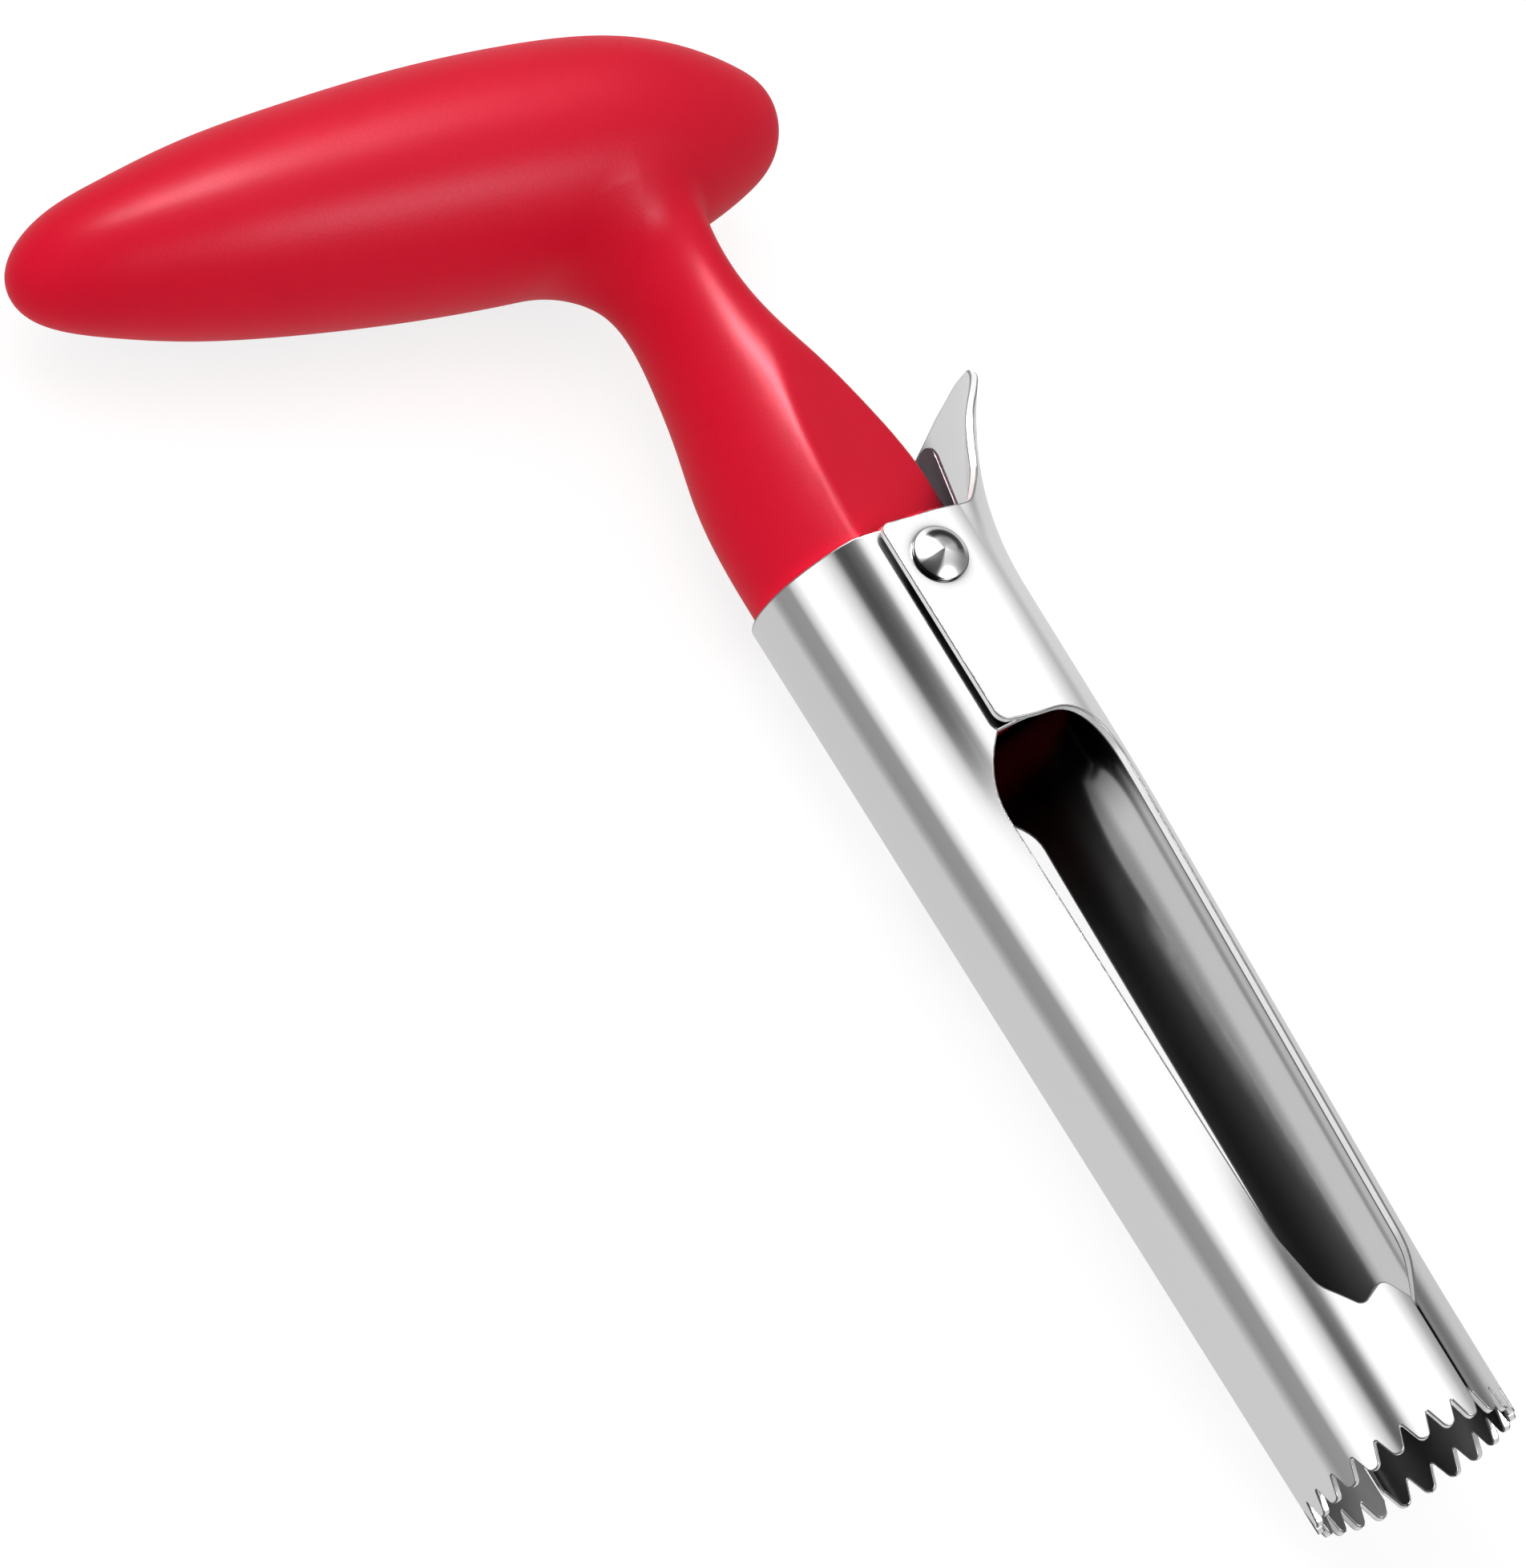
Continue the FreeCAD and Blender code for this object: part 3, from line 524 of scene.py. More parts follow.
def mouth_edges(first_angle, last_angle):
    """Edge of the teeth between the two seams, on the outside and on the inside."""
    half_pitch = MOUTH_RADIUS * math.sin(math.pi / TEETH)
    flank_turn = math.radians((90 - TOOTH_HALF_ANGLE) / 2)
    half_gap = half_pitch - TOOTH_TIP_LAND - TOOTH_TIP_RADIUS * math.tan(flank_turn)
    gap = rounded_path((
        (-half_pitch, 0, 0),
        (-half_gap, 0, TOOTH_TIP_RADIUS),
        (0, half_gap / math.tan(math.radians(TOOTH_HALF_ANGLE)), GULLET_RADIUS),
        (half_gap, 0, TOOTH_TIP_RADIUS),
        (half_pitch, 0, 0),
    ), step=0.2)[:-1]
    pitch = 2 * math.pi / TEETH
    turns = np.arange(math.floor(first_angle / pitch) - 1, math.ceil(last_angle / pitch) + 2)
    middles = np.repeat(turns * pitch, len(gap))
    across = np.tile(gap[:, 0], len(turns))
    heights = np.tile(gap[:, 1], len(turns))
    angles = middles + np.arcsin(across / MOUTH_RADIUS)
    inner = (angles > first_angle + SEAM_MARGIN) & (angles < last_angle - SEAM_MARGIN)
    first_height, last_height = np.interp([first_angle, last_angle], angles, heights)
    heights = np.concatenate([[first_height], heights[inner], [last_height]])
    edges = []
    for radius in (MOUTH_RADIUS, MOUTH_RADIUS - SHEET):
        angles = (middles + np.arcsin(across / radius))[inner]
        angles = np.concatenate([[first_angle], angles, [last_angle]])
        edges.append(np.column_stack([angles * UNROLLING_RADIUS, heights]))
    return edges


def fixed_half_outlines():
    """Outline on the outside and on the inside of the fixed half."""
    seam_angle = math.acos(FIXED_SEAM / MOUTH_RADIUS)
    mouths = mouth_edges(seam_angle, 2 * math.pi - seam_angle)
    side = rounded_path(((FIXED_SEAM, mouths[0][0, 1], 0), *FIXED_EDGE))
    angles = np.arccos(side[:, 0] / fixed_radius(side[:, 1]))
    left = np.column_stack([angles * UNROLLING_RADIUS, side[:, 1]])
    right = mirrored(left, math.pi * UNROLLING_RADIUS)[::-1]
    top = np.linspace(right[-1], left[-1], FIXED_TOP_POINTS)[1:-1]
    return [np.concatenate([mouth, right[1:], top, left[::-1][:-1]]) for mouth in mouths]


def tab_angles(path):
    """Angles round the tube of points given across the lever, on the flare."""
    centre, front = flare_circle(path[:, 1])
    radius = front - centre
    forward = np.sqrt(np.maximum(radius ** 2 - path[:, 0] ** 2, 0))
    return np.arctan2(path[:, 0], centre + forward)


def lever_half_outlines():
    """Outline on the outside and on the inside of the lever half."""
    seam_angle = math.acos(LEVER_SEAM / MOUTH_RADIUS)
    mouths = mouth_edges(-seam_angle, seam_angle)
    side = rounded_path(((LEVER_SEAM, mouths[0][-1, 1], 0), *LEVER_EDGE))
    wall = lever_radius(side[:, 1])
    right = np.column_stack([angle_at(side[:, 0], wall) * UNROLLING_RADIUS, side[:, 1]])
    tab = rounded_path(TAB_EDGE)
    tab = np.column_stack([tab_angles(tab) * UNROLLING_RADIUS, tab[:, 1]])
    shoulder = np.linspace(right[-1], tab[0], SHOULDER_POINTS)[1:-1]
    right = np.concatenate([right[1:], shoulder, tab])
    return [np.concatenate([mouth, right, mirrored(right, 0)[1:]]) for mouth in mouths]


def faces_round(rings, steps):
    """Quads between rings of points that follow each other."""
    return [(ring * steps + step, ring * steps + (step + 1) % steps,
             (ring + 1) * steps + (step + 1) % steps, (ring + 1) * steps + step)
            for ring in range(rings - 1) for step in range(steps)]


def turned(profile, side):
    """Points, faces and normals of a profile (radius, height) turned round the rivet's axis."""
    angles = np.linspace(0, 2 * math.pi, TURNED_STEPS, endpoint=False)
    tangent = unit(np.gradient(profile, axis=0))

    def swept(out, along):
        out, along = out[:, None], side * along[:, None]
        swept_parts = np.broadcast_arrays(out * np.cos(angles), out * np.sin(angles), along)
        return np.stack(swept_parts, -1).reshape(-1, 3)

    faces = faces_round(len(profile), TURNED_STEPS)
    return (swept(*profile.T) + [0, PIVOT_HEIGHT, 0],
            faces if side > 0 else [face[::-1] for face in faces],
            swept(tangent[:, 1], -tangent[:, 0]))


def head_profile(shank, shank_end, bore):
    """From the shank's end over the rivet's head to its middle."""
    corner = rounded_path((
        (bore, shank_end, 0),
        (shank - SHANK_CHAMFER, shank_end, 0),
        (shank, shank_end + SHANK_CHAMFER, 0),
        (shank, HEAD_SEAT, 0.05),
        (HEAD_RADIUS, HEAD_SEAT, 0.12),
        (HEAD_RADIUS, HEAD_SEAT + HEAD_RIM, 0),
    ), step=0.4)
    rise = HEAD_RISE - HEAD_RIM
    ball = (HEAD_RADIUS ** 2 + rise ** 2) / (2 * rise)
    radius = HEAD_RADIUS * np.linspace(1, 0, 40)[1:]
    dome = HEAD_SEAT + HEAD_RISE - ball + np.sqrt(ball ** 2 - radius ** 2)
    radius[-1] = ON_AXIS
    return np.concatenate([corner, np.column_stack([radius, dome])])


class SmoothCurve:
    """Curve through knots, with smooth slope and bend."""

    def __init__(self, places, values):
        self.places = places
        self.values = values
        gaps = np.diff(places)
        slopes = np.diff(values) / gaps
        count = len(places)
        system = np.eye(count)
        wanted = np.zeros(count)
        for i in range(1, count - 1):
            system[i, i - 1:i + 2] = gaps[i - 1], 2 * (gaps[i - 1] + gaps[i]), gaps[i]
            wanted[i] = 6 * (slopes[i] - slopes[i - 1])
        self.bends = np.linalg.solve(system, wanted)
        self.gaps = gaps

    def __call__(self, place):
        low, high = self.places[0], self.places[-1]
        held = np.clip(place, low, high)
        part = np.clip(np.searchsorted(self.places, held, side="right") - 1, 0, len(self.gaps) - 1)
        gap = self.gaps[part]
        left = (self.places[part + 1] - held) / gap
        right = 1 - left
        first, second = self.values[part], self.values[part + 1]
        bend_one, bend_two = self.bends[part], self.bends[part + 1]
        curved = (left ** 3 - left) * bend_one + (right ** 3 - right) * bend_two
        value = left * first + right * second + curved * gap ** 2 / 6
        slope = (second - first) / gap + (
            (1 - 3 * left ** 2) * bend_one + (3 * right ** 2 - 1) * bend_two) * gap / 6
        return value + slope * (place - held), slope


grip_places, grip_rises, grip_shares = np.transpose(GRIP_SECTIONS)
grip_rise = SmoothCurve(grip_places, grip_rises * GRIP_HALF_HEIGHT)
grip_size = SmoothCurve(grip_places, grip_shares ** 2)
neck_heights, *neck_measures = np.transpose(NECK_SECTIONS)
neck_place, neck_depth, neck_width = (SmoothCurve(neck_heights, part) for part in neck_measures)


def grip_field(x, y, z):
    """Distance from the grip's surface, negative inside."""
    over = y - GRIP_HEIGHT
    place = -(math.cos(GRIP_SLOPE) * x - math.sin(GRIP_SLOPE) * over)
    rise = math.sin(GRIP_SLOPE) * x + math.cos(GRIP_SLOPE) * over
    middle, _ = grip_rise(place)
    share, share_slope = grip_size(place)
    up = (rise - middle) / GRIP_HALF_HEIGHT
    out = z / GRIP_HALF_WIDTH
    gradient = np.sqrt((up / GRIP_HALF_HEIGHT) ** 2 + (out / GRIP_HALF_WIDTH) ** 2
                       + (share_slope / 2) ** 2 + 1e-6)
    return (up ** 2 + out ** 2 - share) / (2 * gradient)


def neck_field(x, y, z):
    """Distance from the neck's surface with its cheeks, negative inside."""
    above = y - BLADE_LENGTH
    held = np.minimum(above, NECK_SECTIONS[-1][0])
    (depth, _), (width, _), (place, _) = neck_depth(held), neck_width(held), neck_place(held)
    over = (x - place) / depth
    out = z / width
    gradient = np.sqrt((over / depth) ** 2 + (out / width) ** 2 + 1e-6)
    round_neck = (over ** 2 + out ** 2 - 1) / (2 * gradient)
    sideways = math.sin(CHEEK_TURN) * x + math.cos(CHEEK_TURN) * np.abs(z)
    cheek = math.cos(CHEEK_TILT) * sideways - math.sin(CHEEK_TILT) * above - CHEEK_DEPTH
    return soft_max(round_neck, cheek, CHEEK_SOFTNESS)


def handle_field(points):
    """Distance from the handle's surface, negative inside."""
    x, y, z = points[..., 0], points[..., 1], points[..., 2]
    neck = np.maximum(neck_field(x, y, z), np.maximum(y - NECK_TOP, BLADE_LENGTH - y))
    softness = np.interp(x, SOFTNESS_CHANGES, (REAR_JOINT_SOFTNESS, FRONT_JOINT_SOFTNESS))
    moulding = -soft_max(-grip_field(x, y, z), -neck, softness)
    spigot = np.hypot(x, z) - (SPIGOT_RADIUS - TAPER * (BLADE_LENGTH - y))
    spigot = np.maximum(spigot, np.maximum(y - SPIGOT_TOP, SPIGOT_FOOT - y))
    slot = np.maximum(np.abs(z) - LEAF_SLOT_HALF_WIDTH, LEAF_SLOT_FLOOR - x)
    slot = np.maximum(slot, np.maximum(LEAF_SLOT_HEIGHTS[0] - y, y - LEAF_SLOT_HEIGHTS[1]))
    bore = HOLE_RADIUS - np.hypot(x, y - PIVOT_HEIGHT)
    return np.maximum(np.maximum(np.minimum(moulding, spigot), -slot), bore)


def field_gradient(field, points, small=0.03):
    return np.stack([(field(points + step) - field(points - step)) / (2 * small)
                     for step in np.eye(3) * small], -1)


def field_mesh(field, low, high, cell):
    """Quads over the surface where a field is zero, with one point in each cell that it crosses."""
    axes = [np.arange(start, end + cell, cell) for start, end in zip(low, high)]
    corners = np.stack(np.meshgrid(*axes, indexing="ij"), -1)
    values = field(corners)
    shape = np.array(values.shape) - 1
    total = np.zeros((*shape, 3))
    hits = np.zeros(shape)

    def shifted(array, offset):
        return array[tuple(slice(o, o + n) for o, n in zip(offset, shape))]

    for axis in range(3):
        for start in np.ndindex(2, 2, 2):
            if start[axis]:
                continue
            end = [*start]
            end[axis] = 1
            near, far = shifted(values, start), shifted(values, end)
            crosses = (near < 0) != (far < 0)
            share = np.where(crosses, near / np.where(crosses, near - far, 1), 0)
            point = shifted(corners, start).copy()
            point[..., axis] += share * cell
            total[crosses] += point[crosses]
            hits[crosses] += 1
    used = hits > 0
    number = np.full(shape, -1)
    number[used] = np.arange(used.sum())
    points = total[used] / hits[used][:, None]

    faces = []
    inside = values < 0
    for axis in range(3):
        one, two = [(1, 2), (2, 0), (0, 1)][axis]
        near = np.take(inside, range(shape[axis]), axis=axis)
        far = np.take(inside, range(1, shape[axis] + 1), axis=axis)
        for entering in (True, False):
            at = np.argwhere((near != far) & (near == entering))
            within = (at > 0) & (at < shape)
            at = at[within[:, one] & within[:, two]]
            square = []
            for step_one, step_two in ((1, 1), (0, 1), (0, 0), (1, 0)):
                cells = at.copy()
                cells[:, one] -= step_one
                cells[:, two] -= step_two
                square.append(number[tuple(cells.T)])
            square = np.column_stack(square)
            faces.append(square if entering else square[:, ::-1])
    faces = np.concatenate(faces)

    for _ in range(4):
        slope = field_gradient(field, points)
        step = field(points)[:, None] * slope / np.maximum((slope ** 2).sum(1), 0.2)[:, None]
        points -= np.clip(step, -cell / 2, cell / 2)
    return points, faces, unit(field_gradient(field, points))


class Level:
    """One output of a node, so that sums and products of values are written as such."""

    def __init__(self, finish, socket):
        self.finish = finish
        self.socket = socket

    def __add__(self, other):
        return self.finish.math("ADD", self, other)

    def __sub__(self, other):
        return self.finish.math("SUBTRACT", self, other)

    def __rsub__(self, other):
        return self.finish.math("SUBTRACT", other, self)

    def __mul__(self, other):
        return self.finish.math("MULTIPLY", self, other)

    def __truediv__(self, other):
        return self.finish.math("DIVIDE", self, other)

    __radd__ = __add__
    __rmul__ = __mul__


def grey(level):
    return (level, level, level, 1)


def up_the_tube(height):
    """Height on the tube in millimetres, as a place in the frame."""
    return float(ORIGIN[1]) + height * MILLIMETRE


class Finish:
    """The nodes of a material or of the world."""

    def __init__(self, owner):
        owner.use_nodes = True
        self.owner = owner
        self.tree = owner.node_tree
        self.tree.nodes.clear()

    def node(self, kind, settings=None, inputs=None, output=0):
        """Adds a node: its settings first, then the values or links of its sockets."""
        made = self.tree.nodes.new(kind)
        for name, value in (settings or {}).items():
            if name == "stops":
                self.set_stops(made.color_ramp.elements, value)
            else:
                setattr(made, name, value)
        for name, value in (inputs or {}).items():
            if isinstance(value, Level):
                self.tree.links.new(value.socket, made.inputs[name])
            else:
                made.inputs[name].default_value = value
        return Level(self, made.outputs[output]) if made.outputs else made

    def set_stops(self, elements, stops):
        while len(elements) < len(stops):
            elements.new(0.5)
        for element, (place, _) in zip(elements, stops):
            element.position = place
        for element, (_, level) in zip(elements, stops):
            element.color = grey(level)

    def math(self, operation, *values):
        return self.node("ShaderNodeMath", {"operation": operation}, dict(enumerate(values)))

    def place(self):
        return self.node("ShaderNodeTexCoord", output="Object")

    def part(self, vector, axis):
        return self.node("ShaderNodeSeparateXYZ", {}, {"Vector": vector}, output=axis)

    def noise(self, place, scale, detail, roughness=0.5):
        return self.node("ShaderNodeTexNoise", {}, {
            "Vector": place, "Scale": scale, "Detail": detail, "Roughness": roughness})

    def rise(self, value, start, end):
        """Softly from 0 where the value is at the start to 1 where it is at the end."""
        return self.node("ShaderNodeMapRange", {"interpolation_type": "SMOOTHSTEP"}, {
            "Value": value, "From Min": start, "From Max": end})

    def mix(self, factor, first, second):
        """From the first colour to the second. A bare number is a grey."""
        a, b = (grey(tone) if isinstance(tone, float) else tone for tone in (first, second))
        return self.node("ShaderNodeMix", {"data_type": "RGBA"}, {
            "Factor": factor, "A": a, "B": b}, output="Result")

    def curve(self, value, stops):
        """Level along stops, each of them a place from 0 to 1 and the level there."""
        ramp = self.node("ShaderNodeValToRGB", {"stops": stops}, {"Fac": value})
        return self.node("ShaderNodeSeparateColor", {}, {"Color": ramp}, output="Red")

    def ray(self, kind):
        """Whether a ray is of that kind."""
        return self.node("ShaderNodeLightPath", output=f"Is {kind} Ray")

    def openness(self, reach):
        """How open the surroundings are within a reach in metres."""
        return self.node("ShaderNodeAmbientOcclusion", {"samples": 12}, {
            "Distance": reach}, output="AO")

    def surface(self, inputs):
        """Ends the nodes in a shader with these sockets, and gives the material."""
        shader = self.node("ShaderNodeBsdfPrincipled", {}, inputs)
        self.node("ShaderNodeOutputMaterial", {}, {"Surface": shader})
        return self.owner


DEEP_RED = (0.66, 0.004, 0.022, 1)
BRIGHT_RED = (0.83, 0.01, 0.038, 1)
# The last red is painted shade for recesses
PAINTED_SHADE_RED = (0.035, 0.002, 0.005, 1)


def red_moulding():
    """Satin red moulding with a very fine grain that sparkles in the highlights, and painted shade:
    near-black red where other surfaces close in, as round the spigot inside the tube.
    """
    finish = Finish(bpy.data.materials.new("satin_red_moulding"))
    place = finish.place()
    cloud = finish.noise(place, 55.0, 3.0)
    grain = finish.noise(place, 3600.0, 2.0, 0.6)
    pits = finish.node("ShaderNodeTexVoronoi", {"feature": "F1"}, {
        "Vector": place, "Scale": 2300.0})
    # Painted shade: near-black red where other surfaces lie within 14 mm
    out_of_painted_shade = finish.node("ShaderNodeMapRange", {}, {
        "Value": finish.openness(0.014), "From Min": 0.30, "From Max": 0.66})
    normal = finish.node("ShaderNodeBump", {}, {
        "Strength": 0.35, "Distance": 0.00005, "Height": grain * 0.6 + pits * 0.5})
    red = finish.mix(0.5 * cloud + 0.5 * grain, DEEP_RED, BRIGHT_RED)
    return finish.surface({
        "Base Color": finish.mix(out_of_painted_shade, PAINTED_SHADE_RED, red),
        "Roughness": 0.34 + 0.16 * grain,
        "Specular IOR Level": 0.045,
        "Specular Tint": (1.0, 0.85, 1.0, 1),
        "Normal": normal,
    })


def polished_steel(name, tone, roughness, shade=0.0, painted_shade_bands=(), metal=1.0):
    """Mirror polished sheet with faint draw lines along the tube, with painted shade where pieces
    meet and painted shade on bands of the tube. Each band gives the heights in millimetres where it
    starts, is full, fades and ends, and its tone. A cut edge is duller: it has a lower share of
    metal."""
    finish = Finish(bpy.data.materials.new(name))
    place = finish.place()
    stretched = finish.node("ShaderNodeMapping", {}, {"Vector": place, "Scale": (2600, 25, 2600)})
    lines = finish.noise(stretched, 1.0, 4.0)
    smudge = finish.noise(place, 90.0, 3.0)
    light = grey(tone)
    # Painted shade where pieces meet: darker where other surfaces lie within 1.5 mm
    if shade:
        light = finish.mix(finish.math("POWER", finish.openness(0.0015), shade), 0.02, tone)
    # Painted shade on bands of the tube
    for *heights, band_tone in painted_shade_bands:
        height = finish.part(place, "Y")
        start, full, fading, end = (up_the_tube(level) for level in heights)
        band = finish.rise(height, start, full) * finish.rise(height, end, fading)
        light = finish.mix(band, light, band_tone)
    return finish.surface({
        "Base Color": light,
        "Metallic": metal,
        "Roughness": roughness + 0.03 * lines + 0.03 * smudge,
        "Normal": finish.node("ShaderNodeBump", {}, {
            "Strength": 0.06, "Distance": 0.00001, "Height": lines}),
    })


def satin_inside():
    """Duller inside of the fixed half. Its tone is painted light and shade: pale where light falls
    in at the open mouth on the side away from the lever, and dark in the shade further up the tube."""
    finish = Finish(bpy.data.materials.new("fixed_inside_steel"))
    place = finish.place()
    middle = float(ORIGIN[0])
    depth = finish.rise(finish.part(place, "Y"), up_the_tube(6), up_the_tube(24))
    to_lever = finish.rise(finish.part(place, "X"), middle - 0.007, middle + 0.004)
    return finish.surface({
        # Painted light at the mouth, painted shade up the tube and towards the lever
        "Base Color": finish.mix(depth, finish.mix(to_lever, 0.42, 0.17), 0.05),
        "Metallic": 1.0,
        "Roughness": 0.30 + 0.08 * finish.noise(place, 140.0, 3.0),
    })


# Painted reflection tone of the rivet head round its middle, as shares of a turn from the lever's
# side, and the painted dark ring and pale crescent on that side, as shares of the head's radius
HEAD_PAINTED_SECTORS = (
    (0.0, 0.36), (0.28, 0.14), (0.33, 0.24), (0.48, 0.27), (0.52, 0.04), (0.62, 0.05),
    (0.66, 0.34), (0.86, 0.50), (0.93, 0.36),
)
HEAD_PAINTED_RING_SIDE = ((0.28, 1), (0.33, 0), (0.90, 0), (0.96, 1))
HEAD_PAINTED_RING = ((0.42, 0), (0.58, 1), (0.74, 1), (0.82, 0))
HEAD_PAINTED_CRESCENT = ((0.76, 0), (0.84, 1))


def painted_reflection_rivet_steel():
    """Turned rivet steel whose turning marks vary the roughness. Its tone is painted reflection:
    bright and dark sectors round the head's middle, a dark ring and a pale crescent on the lever's
    side, and painted shade makes the head's rim dark."""
    finish = Finish(bpy.data.materials.new("rivet_steel_painted_reflections"))
    middle = (float(ORIGIN[0]), up_the_tube(PIVOT_HEIGHT), float(ORIGIN[2]))
    from_middle = finish.node("ShaderNodeVectorMath", {"operation": "SUBTRACT"}, {
        0: finish.place(), 1: middle})
    x, y, z = (finish.part(from_middle, axis) for axis in "XYZ")
    turn = finish.math("WRAP", finish.math("DEGREES", finish.math("ARCTAN2", y, x)), 360, 0) / 360
    out = finish.math("SQRT", x * x + y * y) / (HEAD_RADIUS * MILLIMETRE)
    side = finish.curve(turn, HEAD_PAINTED_RING_SIDE)
    ringed = finish.curve(turn, HEAD_PAINTED_SECTORS) * (1.0 - 0.85 * side * finish.curve(out, HEAD_PAINTED_RING))
    tone = ringed + 0.45 * side * finish.curve(out, HEAD_PAINTED_CRESCENT)
    # Painted shade: the rim of the head is near black
    rim_top = HEAD_SEAT + HEAD_RIM
    dome = finish.node("ShaderNodeMapRange", {}, {
        "Value": finish.math("ABSOLUTE", z),
        "From Min": rim_top * MILLIMETRE,
        "From Max": (rim_top + 0.14) * MILLIMETRE,
        "To Min": 0.03,
    })
    marks = finish.node("ShaderNodeTexNoise", {"noise_dimensions": "1D"}, {
        "W": out, "Scale": 90.0, "Detail": 3.0})
    return finish.surface({
        "Base Color": tone * dome,
        "Metallic": 1.0,
        "Roughness": 0.26 + 0.06 * marks,
    })


def blued_steel():
    """Dark tempered spring steel."""
    finish = Finish(bpy.data.materials.new("blued_spring_steel"))
    cloud = finish.noise(finish.place(), 400.0, 4.0)
    return finish.surface({
        "Base Color": finish.mix(cloud, (0.05, 0.035, 0.042, 1), (0.11, 0.085, 0.095, 1)),
        "Metallic": 0.9,
        "Roughness": 0.22 + 0.12 * cloud,
    })


red = red_moulding()
# Painted shade where pieces meet
steel = polished_steel("polished_steel", 0.95, 0.05, shade=2.0)
# Painted shade on two bands inside the lever half: low near the teeth and high up by the ear
lever_inside = polished_steel("lever_inside_steel", 0.88, 0.10,
                              painted_shade_bands=((-2, -1, 8, 15, 0.24), (78, 88, 108, 114, 0.05)))
fixed_inside = satin_inside()
# Painted shade on the cut edges in the seams below the windows
cut_steel = polished_steel("cut_edge_steel", 0.97, 0.3, metal=0.35,
                           painted_shade_bands=((2.6, 3.6, 13.4, 14.6, 0.01),))
# Painted shade: the rounded borders of the cut edges are dark
border_painted_shade_steel = polished_steel("cut_edge_border_painted_shade", 0.16, 0.4, metal=0.35)
rivet_steel = painted_reflection_rivet_steel()
spring_steel = blued_steel()

# Handle
points, faces, normals = field_mesh(handle_field, HANDLE_LOW, HANDLE_HIGH, HANDLE_CELL)
add_piece("handle_moulding", points, faces, normals, [red], "handle_body",
          "handle")


def add_half(name, surface, outlines, holes, rows, inside_steel, body, node):
    """One half of the split tube, the lever half with its ears and thumb tab."""
    sheet = Sheet(surface, SHEET)
    outer_loop, inner_loop = outlines
    points, faces, normals, finishes = sheet.mesh(
        [outer_loop, *holes], [inner_loop, *(sheet.cut_through(hole) for hole in holes)],
        EDGE_ROUNDING, FACE_COLUMNS, rows)
    add_piece(name, points, faces, normals, [steel, inside_steel, cut_steel, border_painted_shade_steel],
              body, node, finishes)


add_half("fixed_half", fixed_surface, fixed_half_outlines(),
         hole_edges(fixed_radius(PIVOT_HEIGHT), False, 2 * math.pi),
         FIXED_ROWS, fixed_inside, "handle_body", "fixed_blade")
add_half("lever_half", lever_surface, lever_half_outlines(), hole_edges(EAR_RADIUS, True, 0),
         LEVER_ROWS, lever_inside, "lever", "lever_blade")

# Halves of the pivot rivet
for name, node, profile, side in (
    ("rivet_barrel_turned", "rivet_barrel",
     head_profile(BARREL_RADIUS, -EAR_RADIUS, BARREL_BORE), 1),
    ("rivet_pin_turned", "rivet_pin", head_profile(PIN_RADIUS, PIN_END, ON_AXIS), -1),
):
    points, faces, normals = turned(profile, side)
    add_piece(name, points, faces, normals, [rivet_steel], "handle_body", node)

# Leaf spring
leaf_line = rounded_path(LEAF_PATH, step=0.25)
leaf_marks = np.concatenate([[0], np.cumsum(np.linalg.norm(np.diff(leaf_line, axis=0), axis=1))])


def leaf_surface(unrolled):
    along = unrolled[:, 1]
    held = np.clip(along, 0, leaf_marks[-1])
    direction = unit(leaf_line[-1] - leaf_line[-2])
    past = (along - held)[:, None] * direction
    x = np.interp(held, leaf_marks, leaf_line[:, 0]) + past[:, 0]
    y = np.interp(held, leaf_marks, leaf_line[:, 1]) + past[:, 1]
    return np.column_stack([x, y, unrolled[:, 0]])


leaf_end = leaf_marks[-1]
leaf_outline = rounded_path((
    (0, 0, 0),
    (LEAF_HALF_WIDTH, 0, LEAF_FOOT_CORNER),
    (LEAF_HALF_WIDTH, leaf_end, LEAF_CORNER),
    (-LEAF_HALF_WIDTH, leaf_end, LEAF_CORNER),
    (-LEAF_HALF_WIDTH, 0, LEAF_FOOT_CORNER),
    (0, 0, 0),
))[:-1]
points, faces, normals, _ = Sheet(leaf_surface, LEAF).mesh(
    [leaf_outline], [leaf_outline], LEAF_ROUNDING, LEAF_SPACING, LEAF_SPACING)
leaf = add_piece("leaf_spring", points, faces, normals, [spring_steel], None,
                 "return_spring")
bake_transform(leaf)


# Stage
FLOOR_LEVEL = -0.0003
FLOOR_HALF = 4.0
FLOOR_GLOW = 1.3
FLOOR_GLOW_SHARE = 0.6


def make_floor():
    """Pale floor that keeps the object's shadow. The camera sees part of it as a white glow."""
    finish = Finish(bpy.data.materials.new("pale_floor"))
    matt = finish.node("ShaderNodeBsdfDiffuse", {}, {"Color": grey(0.9)})
    glow = finish.node("ShaderNodeEmission", {}, {"Color": grey(1.0), "Strength": FLOOR_GLOW})
    surface = finish.node("ShaderNodeMixShader", {}, {
        0: finish.ray("Camera") * FLOOR_GLOW_SHARE, 1: matt, 2: glow})
    finish.node("ShaderNodeOutputMaterial", {}, {"Surface": surface})
    corners = [(x * FLOOR_HALF, y * FLOOR_HALF, FLOOR_LEVEL)
               for x, y in ((-1, -1), (1, -1), (1, 1), (-1, 1))]
    floor = add_mesh("floor", corners, [(0, 1, 2, 3)], [finish.owner])
    floor.visible_glossy = False


# Angles round the studio run from its seam, in degrees from the lever side over the top
STUDIO_SEAM = -54
